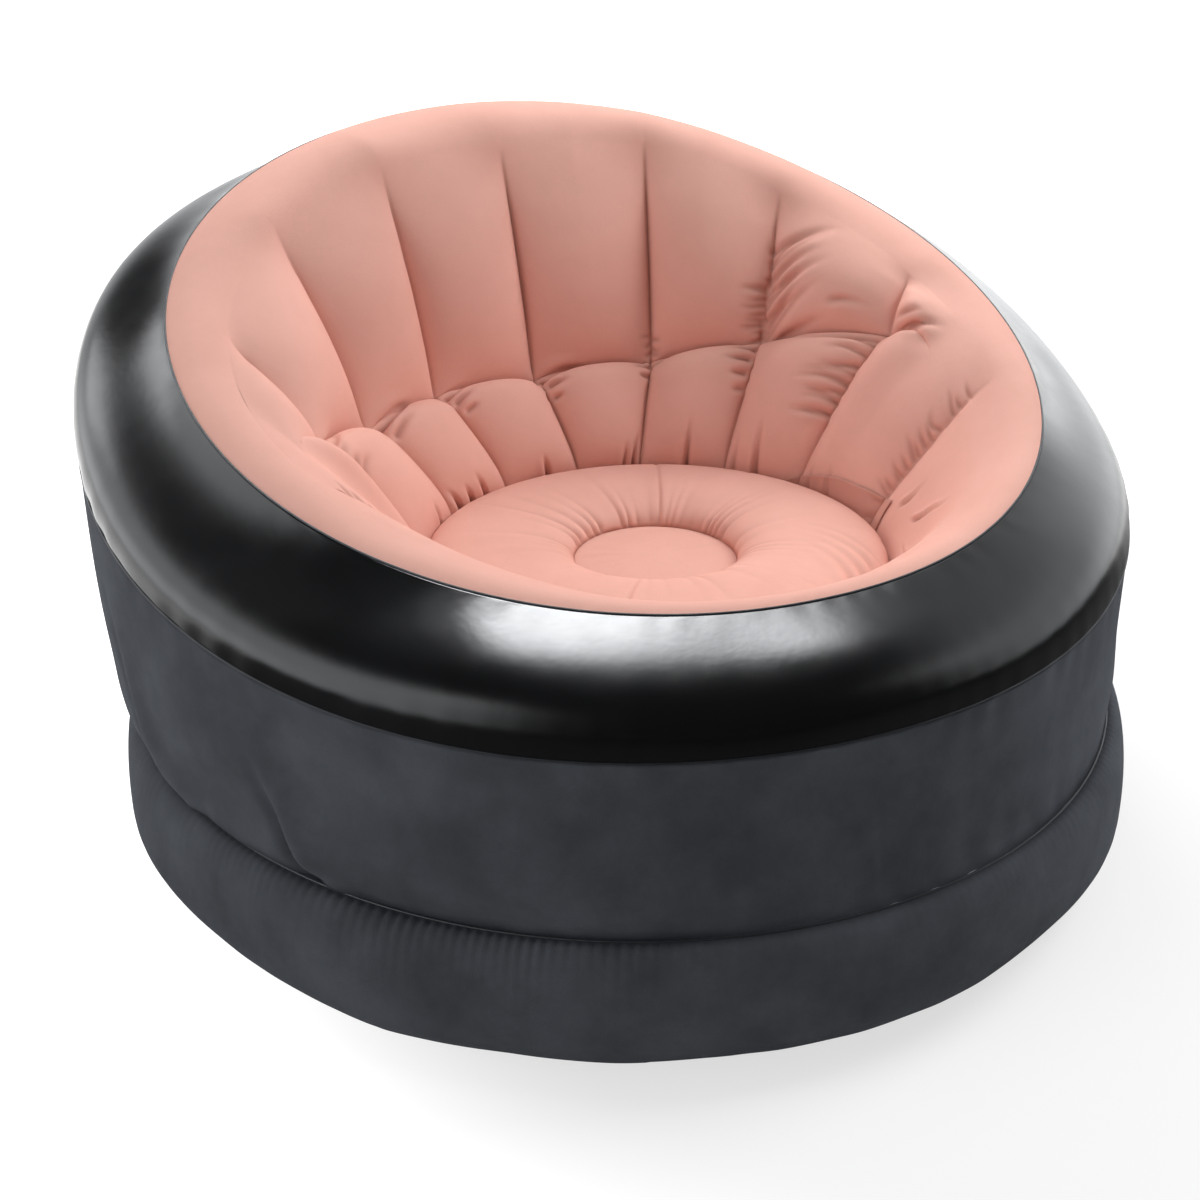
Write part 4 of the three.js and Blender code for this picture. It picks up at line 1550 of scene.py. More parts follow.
@dataclass
class SeatRing:
    """The ring cushion between the bolster and the sunk centre disc."""

    rows: int = 64
    count: int = 640
    skew: float = 0.92
    squareness: float = 2.7
    roundness: float = 0.46
    gather_depth: float = 0.0052
    gather_reach: float = 0.048
    gather_start: float = 0.006
    gathers: Pleats = Pleats(36, 3)
    outer_depth: float = 0.0022
    outer_reach: float = 0.03
    outer_start: float = 0.008
    outer_gathers: Pleats = Pleats(34, 8)
    weld_width: float = 0.0035
    # Painted shade in the gathers and creases: full where they are this deep, at the share of
    # crease colour below.
    full_press: float = 0.004
    fold_shade: float = 0.3
    arcs: int = 4
    first_arc: float = 26.0
    arc_step: float = 7.0

    def smooth_surface(self, theta: Array) -> Array:
        """A fat half ring, (1 - |2s - 1|^a)^b of its crown over the line between its welds.

        Args:
            theta: angles of the columns.

        Returns:
            (rows, columns, 3) points.
        """
        s = even_steps(self.rows, 0.6)[:, None]
        radius = FORM.seat_radius + (FORM.disc_radius - FORM.seat_radius) * s
        line = FORM.seat_height + (FORM.disc_height - FORM.seat_height) * s
        full = np.clip(1 - np.abs(2 * s**self.skew - 1) ** self.squareness, 0, 1)
        crown = FORM.seat_crown + FORM.seat_crown_tilt * np.cos(theta)
        height = line + (crown - line) * full**self.roundness
        return FORM.in_space(np.stack([np.broadcast_to(radius, height.shape), height], -1), theta)

    def gathered(self, walked: Array, theta: Array) -> Array:
        """Depth of the gathers, deepest near the disc and dying out over `gather_reach`.

        Args:
            walked: (rows, columns) lengths from the seat seam.
            theta: angles of the columns.

        Returns:
            (rows, columns) depths.
        """
        from_disc = walked[-1] - walked
        strength = 0.35 + 0.65 * smoothstep(Waves(5, 1, 6).at(theta), -0.9, 0.8)
        reach = self.gather_reach * (0.75 + 0.35 * Waves(6, 4, 18).at(theta).clip(-1, 1))
        inner = np.exp(-from_disc / reach) * smoothstep(from_disc, 0, self.gather_start)
        inner *= self.gathers.at(theta) * strength
        outer = np.exp(-walked / self.outer_reach) * smoothstep(walked, 0, self.outer_start)
        outer *= self.outer_gathers.at(theta) ** 2
        outer *= smoothstep(Waves(9, 1, 7).at(theta), 0.0, 1.2)
        return self.gather_depth * inner + self.outer_depth * outer

    def creases(self) -> list[Pinch]:
        """The weld line across the ring behind, a crease in front, and a few soft arcs.

        The weld line is laid both ways, so that it is sharp at both ends.

        Returns:
            The creases, with (degrees, row) spots.
        """
        last = self.rows - 1
        weld = ((154.0, 0.0), (152.4, last * 0.4), (150.2, last - 1.0))
        front = ((324.6, 0.0), (324.6, last * 0.5), (325.5, last - 1.0))
        made = [
            Pinch(weld, 0.0016, 0.0016, sharp_start=True),
            Pinch(weld[::-1], 0.0016, 0.0016, sharp_start=True),
            Pinch(front, 0.0034, 0.0022, sharp_start=True),
        ]
        for k in range(self.arcs):
            start = self.first_arc + self.arc_step * k
            arc = ((start, last * 0.04), (start + 10.0, last * 0.26), (start + 30.0, last * 0.60))
            made.append(Pinch(arc, 0.0036 - 0.0004 * k, 0.0042, 0.0016))
        return made

    def surface(self) -> tuple[Array, Array]:
        """The finished ring, gathered and creased between its welds.

        Returns:
            (rows, columns, 3) points, and crease values, 0 to 1.
        """
        theta = Columns.even(self.count)
        smooth = self.smooth_surface(theta)
        walked = steps_along(smooth)
        press = self.gathered(walked, theta)
        points = smooth - grid_normals(smooth) * press[..., None]
        points, deep = pinched(points, np.degrees(theta), self.creases())
        points[0], points[-1] = smooth[0], smooth[-1]
        # The welds are darker behind than in front; the gathers and creases get painted shade by
        # their depth.
        near = np.minimum(walked, walked[-1] - walked)
        weld = (0.3 - 0.2 * np.cos(theta)) * near_line(near, self.weld_width)
        soft = np.clip(press / self.full_press, 0, 1)
        return points, np.maximum(weld, self.fold_shade * np.maximum(deep, soft))

    def build(self) -> bpy.types.Object:
        """Makes the ring and dresses it.

        Returns:
            The new object.
        """
        points, crease = self.surface()
        piece = chair_sheet("seat_ring", points, Slot.PINK, crease=crease)
        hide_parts("seat_ring_panel")
        return piece


@dataclass
class SeatDisc:
    """The sunk round panel in the middle of the seat."""

    rows: int = 34
    count: int = 240
    crown: float = 0.006
    ripple: float = 0.00012
    weld_width: float = 0.0035
    weld_ink: float = 0.2

    def build(self) -> bpy.types.Object:
        """Makes the disc: a low dome, 1 - r^2.4, faintly rippled towards its weld.

        Returns:
            The new object.
        """
        theta = Columns.even(self.count)
        r = 1 - even_steps(self.rows, 0.3)[:, None]
        ripple = r**3 * (1 - r) * 4 * Waves(21, 9, 26).at(theta)
        height = FORM.disc_height + self.crown * (1 - r**2.4) + self.ripple * ripple
        section = np.stack([np.broadcast_to(FORM.disc_radius * r, height.shape), height], -1)
        crease = self.weld_ink * near_line((1 - r) * FORM.disc_radius, self.weld_width)
        piece = chair_sheet(
            "seat_disc", FORM.in_space(section, theta), Slot.PINK, pole_last=True, crease=crease
        )
        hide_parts("seat_centre_disc")
        return piece


@dataclass
class Shoulder:
    """The glossy black band from the belt seam up to the rim seam."""

    rows: int = 60
    count: int = 620
    slope: float = 55.0
    front_slope: float = 20.0
    front_reach: float = 0.075
    front_from: Pair = (90.0, 140.0)
    handle: float = 0.55
    side_swell: Bell = Bell(0.020, 50.0, 32.0)
    slow_height: float = 0.0009
    slow: Waves = Waves(31, 3, 11)
    at_belt: Ripple = Ripple(0.0003, 0.018, 0.003, Waves(32, 60, 95))
    at_rim: Ripple = Ripple(0.0001, 0.014, 0.003, Waves(33, 50, 90))

    def section(self, theta: Array, share: Array) -> Array:
        """The band's section: a Bezier curve, upright at the belt and sloping in at the rim.

        In front the band leaves the rim flatter.

        Args:
            theta: angles of the section planes.
            share: (rows,) shares of the way from the belt to the rim.

        Returns:
            (rows, columns, 2) section points.
        """
        belt, rim = FORM.line(FORM.belt, theta), FORM.line(FORM.rim, theta)
        fall = rim[:, 1] - belt[:, 1]
        reach = belt[:, 0] - rim[:, 0]
        front = smoothstep(FORM.from_back(theta), *self.front_from)
        at_rim = self.handle * np.minimum(reach, fall / math.tan(math.radians(self.slope)))
        at_rim = at_rim + (self.front_reach - at_rim) * front
        slope = np.tan(np.radians(self.slope + (self.front_slope - self.slope) * front))
        low = belt + np.stack([np.zeros_like(fall), self.handle * fall], -1)
        high = rim + np.stack([at_rim, -at_rim * slope], -1)
        swell = np.sin(np.pi * share)[:, None] * self.side_swell.at(FORM.from_back(theta))
        return bezier(belt, low, high, rim, share) + outward(belt, rim) * swell[..., None]

    def surface(self) -> Array:
        """The band's points; slow waves and fine tucks keep its reflections uneven.

        Returns:
            (rows, columns, 3) points.
        """
        theta = Columns.even(self.count)
        smooth = FORM.in_space(self.section(theta, even_steps(self.rows, 0.35)), theta)
        walked = steps_along(smooth)
        swing = np.sin(np.pi * walked / walked[-1])
        press = self.slow_height * swing * self.slow.at(theta)
        press += self.at_belt.at(walked, theta) + self.at_rim.at(walked[-1] - walked, theta)
        return smooth + grid_normals(smooth) * press[..., None]

    def build(self) -> bpy.types.Object:
        """Makes the band and dresses it.

        Returns:
            The new object.
        """
        piece = chair_sheet("shoulder", self.surface(), Slot.GLOSS)
        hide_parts("shoulder_band")
        return piece


# Soft folds of the wall: (degrees, share up) spots, depth, half width and roll beside them.
WALL_FOLDS = (
    (((296.0, 0.02), (292.0, 0.42), (287.0, 0.80)), 0.0150, 0.0085, -0.0085),
    (((273.0, 0.02), (267.0, 0.50), (261.5, 0.90)), 0.0150, 0.0110, -0.0080),
    (((306.0, 0.03), (305.0, 0.14), (303.0, 0.24)), 0.0026, 0.0060, -0.0015),
    (((67.0, 0.03), (70.0, 0.30), (76.0, 0.60)), 0.0050, 0.0090, 0.0030),
    (((96.0, 0.03), (99.0, 0.35), (105.0, 0.75)), 0.0070, 0.0110, 0.0040),
    (((126.0, 0.03), (129.0, 0.30), (134.0, 0.65)), 0.0060, 0.0100, 0.0032),
    (((234.0, 0.03), (231.0, 0.30), (226.0, 0.65)), 0.0060, 0.0100, -0.0032),
    (((156.0, 0.03), (157.5, 0.25), (160.0, 0.50)), 0.0050, 0.0090, 0.0025),
    (((204.0, 0.03), (202.5, 0.25), (200.0, 0.50)), 0.0050, 0.0090, -0.0025),
    (((181.0, 0.03), (181.5, 0.20), (183.0, 0.35)), 0.0035, 0.0070, 0.0018),
)


@dataclass
class UpperWall:
    """The raked slate wall from the waist groove up to the belt seam."""

    rows: int = 72
    count: int = 690
    roundness: float = 2.3
    roll: float = 0.011
    roll_plain: float = 0.3
    roll_full: Bell = Bell(0.9, 322.0, 28.0)
    roll_flat: Bell = Bell(1.1, 283.0, 10.0)
    roll_across: Bell = Bell(1.0, 0.045, 0.034)
    slow_height: float = 0.0018
    slow: Waves = Waves(41, 2, 9)
    at_waist: Ripple = Ripple(0.0009, 0.03, 0.006, Waves(42, 30, 75))
    at_belt: Ripple = Ripple(0.0008, 0.02, 0.004, Waves(43, 50, 90))
    weld_width: float = 0.006
    # Painted shade: share of the darker crease colour in the folds' valleys.
    fold_shade: float = 0.35
    hole_radius: float = 0.0134

    def folds(self) -> list[Pinch]:
        """Soft folds that run down into the waist groove, longest at the sides.

        Returns:
            The folds.
        """
        made = []
        for spots, depth, width, roll in WALL_FOLDS:
            path = tuple((turn, share * (self.rows - 1)) for turn, share in spots)
            made.append(Pinch(path, depth, width, roll, True))
        return made

    def section(self, theta: Array, angles: Array) -> Array:
        """The wall's section: a rounded corner, level at the waist groove."""
        waist, belt = FORM.line(FORM.waist, theta), FORM.line(FORM.belt, theta)
        return corner(waist, belt, angles, self.roundness)

    def surface(self) -> tuple[Array, Array]:
        """The wall's points and creases: a roll over the groove, slow waves and folds.

        Returns:
            (rows, columns, 3) points, and crease values, 0 to 1.
        """
        theta = Columns.even(self.count)
        turn = np.degrees(theta)
        angles = np.pi / 2 * (1 - even_steps(self.rows, 0.3))
        smooth = FORM.in_space(self.section(theta, angles), theta)
        walked = steps_along(smooth)
        press = self.slow_height * np.sin(np.pi * walked / walked[-1]) * self.slow.at(theta)
        full = self.roll_plain + self.roll_full.at(turn) - self.roll_flat.at(turn)
        rolled = self.roll * full * smoothstep(walked, 0, 0.014)
        press += rolled * self.roll_across.at(walked)
        press += self.at_waist.at(walked, theta) + self.at_belt.at(walked[-1] - walked, theta)
        points = smooth + grid_normals(smooth) * press[..., None]
        guard = 0.25 + 0.75 * smoothstep(walked, 0, 0.030)
        points, deep = pinched(points, turn, self.folds(), guard)
        points[0], points[-1] = smooth[0], smooth[-1]
        # Darker along the waist weld, with painted shade in the folds' valleys.
        return points, np.maximum(near_line(walked, self.weld_width), self.fold_shade * deep)

    def valve_hole(self, points: Array) -> tuple[Array, Array]:
        """Cuts the wall out round the valve's socket.

        The points inside the hole are marked, and those next to them are drawn on to a
        circle round the socket's axis, which lies inside the socket's wall.

        Args:
            points: (rows, columns, 3) points of the wall.

        Returns:
            The points, and the (rows, columns) marks of those that the hole takes away.
        """
        apart = points - mesh_points(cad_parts["valve_socket"].data).mean(axis=0)
        reach = np.linalg.norm(apart, axis=-1)
        out = grid_normals(points).reshape(-1, 3)[reach.argmin()]
        across = apart - (apart @ out)[..., None] * out
        radius = np.linalg.norm(across, axis=-1)
        hole = (radius < self.hole_radius) & (reach < 3 * self.hole_radius)
        wider = hole | np.roll(hole, 1, 0) | np.roll(hole, -1, 0)
        ring = (wider | np.roll(wider, 1, 1) | np.roll(wider, -1, 1)) & ~hole
        drawn = points - across * (1 - self.hole_radius / np.maximum(radius, 1e-6))[..., None]
        return np.where(ring[..., None], drawn, points), hole

    def build(self) -> bpy.types.Object:
        """Makes the wall and dresses it.

        Returns:
            The new object.
        """
        points, crease = self.surface()
        points, hole = self.valve_hole(points)
        piece = chair_sheet("upper_wall", points, Slot.SLATE, crease=crease, hole=hole)
        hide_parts("upper_ring_wall")
        return piece


@dataclass
class BaseRing:
    """The slate ring that the chair stands on."""

    low_rows: int = 14
    high_rows: int = 25
    count: int = 1300
    roundness: float = 2.1
    fullness: float = 2.35
    gather_depth: float = 0.0034
    gather_reach: float = 0.018
    gather_plain: float = 0.16
    gather_full: Bell = Bell(1.0, 304.0, 26.0)
    gathers: Pleats = Pleats(300, 55)
    slow_height: float = 0.0012
    slow: Waves = Waves(56, 4, 16)
    at_foot: Ripple = Ripple(0.0012, 0.03, 0.01, Waves(57, 30, 70))
    foot_seed: int = 58
    foot_corners: int = 44
    foot_reach: float = 0.004
    weld_width: float = 0.006
    # Painted shade: share of the darker crease colour in the gathers.
    gather_shade: float = 0.6

    def foot_line(self, theta: Array) -> Array:
        """The foot's edge: wavy, with straight runs between seeded corners.

        Args:
            theta: angles of the columns.

        Returns:
            (columns, 2) section points.
        """
        line = FORM.line(FORM.contact, theta)
        draw = np.random.default_rng(self.foot_seed)
        turns = np.sort(draw.uniform(0, TAU, self.foot_corners))
        reach = draw.uniform(-self.foot_reach, self.foot_reach, self.foot_corners)
        line[:, 0] += 0.0016 * Waves(51, 12, 40).at(theta) + 0.002 * Waves(52, 3, 9).at(theta)
        line[:, 0] += np.interp(theta, turns, reach, period=TAU)
        return line

    def gathered(self, down: Array, theta: Array) -> Array:
        """Strength of the fine gathers that run down from the waist weld.

        Args:
            down: (rows, columns) lengths from the waist weld.
            theta: angles of the columns.

        Returns:
            (rows, columns) strengths.
        """
        strength = 0.7 + 0.3 * smoothstep(Waves(53, 1, 5).at(theta), -0.8, 0.8)
        strength *= self.gather_plain + self.gather_full.at(np.degrees(theta))
        reach = self.gather_reach * (1 + 0.4 * Waves(54, 20, 60).at(theta).clip(-1, 1))
        return np.exp(-down / reach) * self.gathers.at(theta) * strength

    def surface(self) -> tuple[Array, Array]:
        """The ring's points and creases: two rounded corners, floor to widest to waist.

        Returns:
            (rows, columns, 3) points, and crease values, 0 to 1.
        """
        theta = Columns.even(self.count)
        bulge = FORM.line(FORM.bulge, theta)
        fall = np.pi / 2 * (1 - even_steps(self.low_rows, 0.2))
        climb = np.pi / 2 * even_steps(self.high_rows, 0.5)
        low = corner(self.foot_line(theta), bulge, fall, self.roundness)
        high = corner(FORM.line(FORM.waist, theta), bulge, climb, self.fullness)
        smooth = FORM.in_space(np.concatenate([low[:-1], high]), theta)
        walked = steps_along(smooth)
        down = walked[-1] - walked
        gathers = self.gathered(down, theta)
        press = -self.gather_depth * gathers * smoothstep(down, 0, 0.003)
        press += self.slow_height * self.slow.at(theta) * np.sin(np.pi * walked / walked[-1])
        press += self.at_foot.at(walked, theta)
        points = smooth + grid_normals(smooth) * press[..., None]
        points[..., 2] = np.maximum(points[..., 2], 0)
        # Darker along the waist weld, with painted shade in the gathers.
        crease = near_line(down, self.weld_width)
        return points, np.maximum(crease, self.gather_shade * gathers)

    def build(self) -> bpy.types.Object:
        """Makes the ring and dresses it.

        Returns:
            The new object.
        """
        points, crease = self.surface()
        piece = chair_sheet("base_ring", points, Slot.SLATE, crease=crease)
        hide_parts("base_ring_wall")
        return piece


@dataclass
class FloorSheet:
    """The plain sheet that closes the base below."""

    rows: int = 16
    count: int = 750
    inset: float = 0.001

    def build(self) -> bpy.types.Object:
        """Makes the sheet: flat on the floor, from the seat axis to just inside the foot.

        Returns:
            The new object.
        """
        theta = Columns.even(self.count)
        edge = BaseRing().foot_line(theta)[:, 0] - self.inset
        distance = even_steps(self.rows, 0.2)[:, None] * edge
        points = FORM.in_space(np.stack([distance, np.zeros_like(distance)], -1), theta)
        piece = chair_sheet("floor_sheet", points, Slot.PLAIN, pole_first=True)
        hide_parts("base_bottom_sheet")
        return piece


@dataclass
class Welds:
    """The thin beads where two sheets of the skin are welded edge to edge."""

    count: int = 480
    rim: float = 0.0010
    belt: float = 0.0011
    waist: float = 0.0013

    def build(self) -> list[bpy.types.Object]:
        """Makes the beads of the rim, the belt and the waist.

        Returns:
            The new objects.
        """
        theta = Columns.even(self.count)
        made = []
        for name, ring, radius in (
            ("rim_weld", FORM.rim, self.rim),
            ("belt_weld", FORM.belt, self.belt),
            ("waist_weld", FORM.waist, self.waist),
        ):
            piece = make_bead(name, FORM.in_space(FORM.line(ring, theta), theta), radius)
            dressed(piece, Slot.PLAIN)
            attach(piece, "chair")
            made.append(piece)
        return made


@dataclass
class Webs:
    """The clear sheets inside that hold the bowl's seams back and down.

    Each is ruled from a seam, just under the bowl's sheet, to the outer wall or to the waist.
    """

    steps: int = 6
    edge: int = 24
    clearance: float = 0.0022
    vent: float = 0.014
    lumbar_foot: float = 0.048
    lumbar_gap: float = 0.002
    outer_gap: float = 0.006
    over_waist: float = 0.001
    back_span: Pair = (0.03, 0.93)
    bolster_span: Pair = (0.1, 0.9)
    band_top: float = 0.42
    wall_angles: Pair = (4.0, 42.0)
    gauge: float = 0.00035

    def ruled(self, name: str, near: Array, far: Array, node: str) -> bpy.types.Object:
        """A sheet between two edges, each point (1 - u) * near + u * far.

        Args:
            name: the piece's name.
            near: (count, 3) points of its edge under the bowl.
            far: (count, 3) points of its other edge.
            node: the frame's node that it replaces.

        Returns:
            The new object.
        """
        share = np.linspace(0, 1, self.steps)[None, :, None]
        points = near[:, None] * (1 - share) + far[:, None] * share
        piece = chair_sheet(name, points, Slot.WEB, self.gauge, closed=False)
        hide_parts(node)
        return piece

    def outer_edge(self, theta: float) -> Array:
        """Points inside the shoulder and the wall, from above downwards.

        Args:
            theta: angle of the web's plane.

        Returns:
            (edge, 3) points.
        """
        turn, half = np.array([theta]), self.edge // 2
        band = Shoulder().section(turn, np.linspace(self.band_top, 0.0, half))[:, 0]
        wall = UpperWall().section(turn, np.radians(np.linspace(*self.wall_angles, half)))[:, 0]
        return FORM.in_space(np.concatenate([band, wall]) - [self.outer_gap, 0.0], theta)

    def foot_edge(self, theta: float, outer: float) -> Array:
        """Points just over the waist's level sheet, from outside inwards.

        Args:
            theta: angle of the web's plane.
            outer: distance of the first point from the seat axis.

        Returns:
            (edge, 3) points.
        """
        distance = np.linspace(outer, FORM.seat_radius + self.vent, self.edge)
        height = FORM.waist.height_at(FORM.axis_y - distance * math.cos(theta)) + self.over_waist
        return FORM.in_space(np.stack([distance, height], -1), theta)

    def build(self) -> list[bpy.types.Object]:
        """Makes a back web and a bolster web behind every seam, and the lumbar web.

        Returns:
            The new objects.
        """
        bowl = Bowl()
        points = bowl.smooth_surface()
        under = points - grid_normals(points) * self.clearance
        zones = {}
        for zone, span in ((Zone.BACK, self.back_span), (Zone.BOLSTER, self.bolster_span)):
            rows = np.linspace(*(bowl.row(zone, share) for share in span), self.edge)
            zones[zone] = np.round(rows).astype(int)
        made = []
        for seam in range(FORM.seams):
            column = np.abs(bowl.turn() - FORM.seam_angle(seam - FORM.last_place)).argmin()
            theta = float(bowl.columns.theta[column])
            fold = under[bowl.fold_row, column]
            reach = math.hypot(fold[0], fold[1] - FORM.axis_y) + self.lumbar_foot
            far = {
                Zone.BACK: self.outer_edge(theta),
                Zone.BOLSTER: self.foot_edge(theta, reach - self.lumbar_gap),
            }
            for zone, rows in zones.items():
                name = f"{zone.value}_web_{seam + 1}"
                made.append(self.ruled(f"{name}_sheet", under[rows, column], far[zone], name))
        columns = np.nonzero(FORM.opened(bowl.columns.theta) == 0)[0]
        near = under[bowl.fold_row, columns]
        reach = np.hypot(near[:, 0], near[:, 1] - FORM.axis_y) + self.lumbar_foot
        feet = zip(bowl.columns.theta[columns].tolist(), reach.tolist())
        far = np.array([self.foot_edge(theta, outer)[0] for theta, outer in feet])
        made.append(self.ruled("lumbar_web_sheet", near[::4], far[::4], "lumbar_web"))
        return made


@dataclass
class SeatFlange:
    """The loose weld flange that stands up against the bolster, right of the seat."""

    turns: tuple[float, ...] = (-103.6, -97.6, -90.5, -80.0, -71.0, -66.0)
    tops: tuple[float, ...] = (0.60, 0.68, 0.79, 0.86, 0.90, 0.97)
    foot: float = 0.99
    rows: int = 14
    lift: float = 0.0014
    gauge: float = 0.0005

    def build(self) -> bpy.types.Object:
        """Makes the strip: the bowl's own surface by the seat seam, lifted clear of it.

        Returns:
            The new object.
        """
        bowl = Bowl()
        points = bowl.surface()[0]
        signed = (bowl.turn() + 180) % 360 - 180
        columns = np.argsort(signed)
        turned = signed[columns]
        columns = columns[(turned > self.turns[0]) & (turned < self.turns[-1])]
        top = np.interp(signed[columns], self.turns, self.tops)
        steps = np.linspace(0, 1, self.rows)
        rows = np.array(
            [[bowl.row(Zone.BOLSTER, t + (self.foot - t) * u) for t in top] for u in steps]
        )
        low = rows.astype(int)
        part = (rows - low)[..., None]
        flat = points[low, columns] * (1 - part) + points[low + 1, columns] * part
        out = grid_normals(points)[low, columns] * self.lift * (1.6 - steps)[:, None, None]
        crease = 0.7 - 0.3 * steps[:, None]
        return chair_sheet(
            "seat_flange", flat + out, Slot.PINK, self.gauge, closed=False, crease=crease
        )


Band = tuple[float, float, float, float]
OPEN_BAND: Band = (-3, -2, 2, 3)


@dataclass(frozen=True)
class Panel:
    """A soft bright patch of the surround that only reflections see.

    Attributes:
        light: how bright it is.
        x: where it fades in and out across, as four rising directions' x values.
        y: the same for the depth.
        z: the same for the height.
    """

    light: float
    x: Band = OPEN_BAND
    y: Band = OPEN_BAND
    z: Band = OPEN_BAND

    def seen(self, tree: Tree, split: bpy.types.Node) -> Source:
        """The panel's light in a direction: the product of its soft bands.

        Args:
            tree: the world's node tree.
            split: the node that splits the direction into x, y and z.

        Returns:
            The light, as a socket or a number.
        """
        light: Source = self.light
        for axis, (low, full, fading, gone) in enumerate((self.x, self.y, self.z)):
            side = split.outputs[axis]
            if full > OPEN_BAND[1]:
                light = tree.work_out("MULTIPLY", light, tree.spread(side, low, full, 0, 1, True))
            if fading < OPEN_BAND[2]:
                shade = tree.spread(side, fading, gone, 1, 0, True)
                light = tree.work_out("MULTIPLY", light, shade)
        return light


@dataclass(frozen=True)
class Lamp:
    """A soft rectangular lamp, whose reflection comes from the surround's panels instead."""

    name: str
    place: Triple
    aim: Triple
    size: Pair
    power: float

    def build(self) -> None:
        """Adds the lamp and aims it."""
        data = bpy.data.lights.new(self.name, "AREA")
        data.shape, data.size, data.size_y, data.energy = "RECTANGLE", *self.size, self.power
        lamp = bpy.data.objects.new(self.name, data)
        lamp.visible_glossy = False
        aim_at(lamp, self.place, self.aim)


def aim_at(thing: bpy.types.Object, place: Triple, aim: Triple) -> None:
    """Puts a lamp or a camera in the scene and turns it to a point.

    Args:
        thing: the lamp or camera.
        place: where it stands.
        aim: the point that it looks at.
    """
    thing.location = place
    thing.rotation_mode = "QUATERNION"
    thing.rotation_quaternion = (Vector(aim) - Vector(place)).to_track_quat("-Z", "Y")
    bpy.context.scene.collection.objects.link(thing)


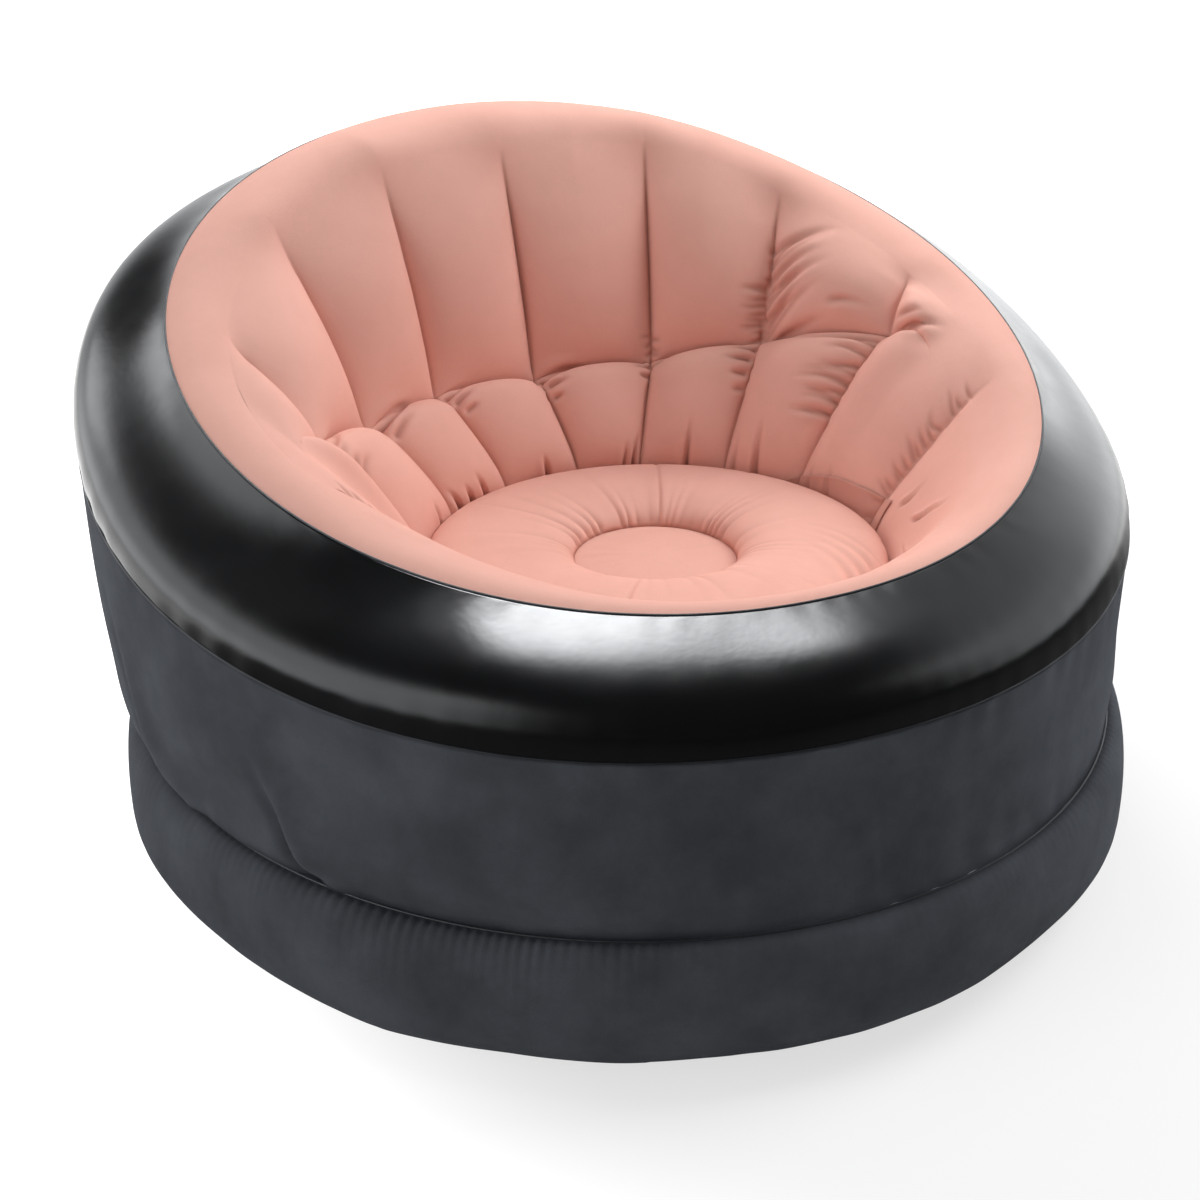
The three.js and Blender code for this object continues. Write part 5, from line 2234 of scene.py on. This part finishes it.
@dataclass
class Studio:
    """Pale floor, soft lamps and the camera."""

    camera_from: Triple = (-0.71503, -1.48572, 1.02207)
    camera_to: Triple = (-0.03603, -0.01727, 0.22879)
    lens: float = 48.75
    sensor: float = 36.0
    surround: float = 0.31
    surround_tint: Colour = (0.96, 0.98, 1.0, 1)
    dim: float = 0.04
    floor_size: float = 14.0
    floor_pale: float = 0.86
    floor_shade: float = 0.36
    floor_gloss: float = 0.12
    floor_glow: float = 0.68
    floor_middle: Triple = (0.34, -0.22, 0.0)
    floor_fade: Pair = (0.62, 1.15)
    behind_fade: Pair = (-0.2, 0.9)
    far_gloss: float = 0.9
    lamps: tuple[Lamp, ...] = (
        Lamp("key", (2.0, -0.35, 1.9), (0, 0, 0.35), (1.3, 1.3), 37),
        Lamp("back", (0.5, 1.6, 2.0), (0, 0, 0.35), (1.4, 1.0), 32),
        Lamp("fill", (-2.3, -0.3, 0.9), (0, 0, 0.2), (1.4, 1.0), 15),
        Lamp("top", (-0.2, 0.1, 2.6), (0, 0, 0.3), (1.4, 1.4), 12),
    )
    panels: tuple[Panel, ...] = (
        Panel(1.0, y=(-0.35, 0.3, 2, 3), z=(-3, -2, 0.2, 0.45)),
        Panel(1.4, x=(0.3, 0.75, 2, 3), y=(-0.8, -0.3, 2, 3), z=(-0.1, 0.1, 0.55, 0.85)),
        Panel(
            0.5, x=(0.62, 0.74, 0.9, 0.95), y=(0.34, 0.46, 0.66, 0.76), z=(-0.05, 0.03, 0.16, 0.26)
        ),
        Panel(2.4, x=(-3, -2, -0.7, -0.3), y=(-0.9, -0.4, 2, 3), z=(-0.1, 0.1, 0.6, 0.85)),
        Panel(27.0, x=(-0.05, 0.06, 0.28, 0.54), y=(0.12, 0.25, 0.45, 0.65), z=(0.6, 0.78, 2, 3)),
        Panel(3.5, x=(-0.62, -0.52, -0.4, -0.3), y=(0.45, 0.6, 0.9, 1.0), z=(0.3, 0.45, 0.6, 0.72)),
    )

    def camera(self) -> None:
        """Sets the camera at the photograph's place."""
        data = bpy.data.cameras.new("camera")
        data.lens, data.sensor_width, data.sensor_fit = self.lens, self.sensor, "HORIZONTAL"
        camera = bpy.data.objects.new("camera", data)
        aim_at(camera, self.camera_from, self.camera_to)
        bpy.context.scene.camera = camera

    def world(self) -> None:
        """The surround: white to the camera, grey to the object, and panels to its gloss.

        The grey is darker in front: it runs from 0.3 to 1.2 of the surround. A reflection
        sees the sum of the panels.
        """
        world = bpy.data.worlds.new("surround")
        bpy.context.scene.world = world
        world.use_nodes = True
        g = Tree(world.node_tree)
        output = g.add("ShaderNodeOutputWorld")
        place = g.add("ShaderNodeTexCoord")
        split = g.add("ShaderNodeSeparateXYZ")
        g.join(place.outputs["Generated"], split.inputs[0])
        total: Source = self.dim
        for panel in self.panels:
            total = g.work_out("ADD", total, panel.seen(g, split))
        grey = g.spread(split.outputs[1], -1, 1, 0.3 * self.surround, 1.2 * self.surround)
        path = g.add("ShaderNodeLightPath")
        gloss = path.outputs["Is Glossy Ray"]
        glossy = g.work_out("MULTIPLY", gloss, total)
        plain = g.work_out("MULTIPLY", g.work_out("SUBTRACT", 1.0, gloss), grey)
        light = g.add("ShaderNodeBackground")
        g.join(self.surround_tint, light.inputs["Color"])
        g.join(g.work_out("ADD", glossy, plain), light.inputs["Strength"])
        white = g.add("ShaderNodeBackground")
        mix = g.add("ShaderNodeMixShader")
        g.join(path.outputs["Is Camera Ray"], mix.inputs["Fac"])
        g.join(light.outputs[0], mix.inputs[1])
        g.join(white.outputs[0], mix.inputs[2])
        g.join(mix.outputs[0], output.inputs["Surface"])

    def floor_material(self) -> bpy.types.Material:
        """The floor's finish: matt near the chair, fading to plain white further out.

        The camera sees it darker, with its own glow, and a reflection sees it darker still,
        but white far behind.

        Returns:
            The material.
        """
        g = Graph("pale floor")
        path = g.add("ShaderNodeLightPath")
        camera, gloss = path.outputs["Is Camera Ray"], path.outputs["Is Glossy Ray"]
        shade = g.spread(camera, 0, 1, self.floor_pale, self.floor_shade)
        shade = g.work_out("MULTIPLY", shade, g.spread(gloss, 0, 1, 1.0, self.floor_gloss))
        tint = g.add("ShaderNodeCombineColor")
        for socket in tint.inputs[:3]:
            g.join(shade, socket)
        g.set(Base_Color=tint.outputs[0], Roughness=0.9, Specular_IOR_Level=0.0)
        place = g.add("ShaderNodeTexCoord").outputs["Object"]
        aside = g.add("ShaderNodeVectorMath", operation="SUBTRACT")
        g.join(place, aside.inputs[0])
        g.join(self.floor_middle, aside.inputs[1])
        length = g.add("ShaderNodeVectorMath", operation="LENGTH")
        g.join(aside.outputs[0], length.inputs[0])
        far = g.spread(length.outputs["Value"], *self.floor_fade, soft=True)
        split = g.add("ShaderNodeSeparateXYZ")
        g.join(place, split.inputs[0])
        behind = g.spread(split.outputs[1], *self.behind_fade, soft=True)
        glossy = g.work_out("MULTIPLY", gloss, behind)
        white = g.add("ShaderNodeEmission")
        strength = g.work_out("ADD", 1.0, g.work_out("MULTIPLY", glossy, self.far_gloss))
        g.join(strength, white.inputs["Strength"])
        mix = g.add("ShaderNodeMixShader")
        seen = g.work_out("MAXIMUM", camera, glossy)
        g.join(g.work_out("MULTIPLY", far, seen), mix.inputs["Fac"])
        g.join(g.shader.outputs["BSDF"], mix.inputs[1])
        g.join(white.outputs[0], mix.inputs[2])
        glow = g.add("ShaderNodeEmission")
        g.join(g.work_out("MULTIPLY", camera, self.floor_glow), glow.inputs["Strength"])
        add = g.add("ShaderNodeAddShader")
        g.join(mix.outputs[0], add.inputs[0])
        g.join(glow.outputs[0], add.inputs[1])
        g.join(add.outputs[0], g.output.inputs["Surface"])
        return g.material

    def floor(self) -> None:
        """Lays a wide pale floor."""
        size = self.floor_size
        mesh = bpy.data.meshes.new("floor")
        corners = [(-size, -size, 0), (size, -size, 0), (size, size, 0), (-size, size, 0)]
        mesh.from_pydata(corners, [], [(0, 1, 2, 3)])
        mesh.materials.append(self.floor_material())
        floor = bpy.data.objects.new("floor", mesh)
        bpy.context.scene.collection.objects.link(floor)

    def build(self) -> None:
        """Sets up the whole studio."""
        self.camera()
        self.world()
        self.floor()
        for lamp in self.lamps:
            lamp.build()
        bpy.context.scene.view_settings.view_transform = "Standard"


def dress_frame() -> None:
    """Gives the nodes that stay their own finishes."""
    for name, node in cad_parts.items():
        if name == "check_flap" or name.startswith(("waist", "centre_s", "seat_s")):
            dressed(node, Slot.WEB)
        elif name in ("valve_socket", "deflation_plug", "cap_strap", "inflation_cap"):
            dressed(node, Slot.VALVE)


def main() -> None:
    """Builds the studio and every piece in order."""
    Studio().build()
    skins = (Bowl(), SeatRing(), SeatDisc(), Shoulder(), UpperWall(), BaseRing(), FloorSheet())
    made = [skin.build() for skin in skins]
    for piece in [*made, *Welds().build(), *Webs().build(), SeatFlange().build()]:
        LOG.info("%s: %d faces", piece.name, len(piece.data.polygons))
    dress_frame()
    bpy.context.view_layer.update()


if __name__ == "__main__":
    main()
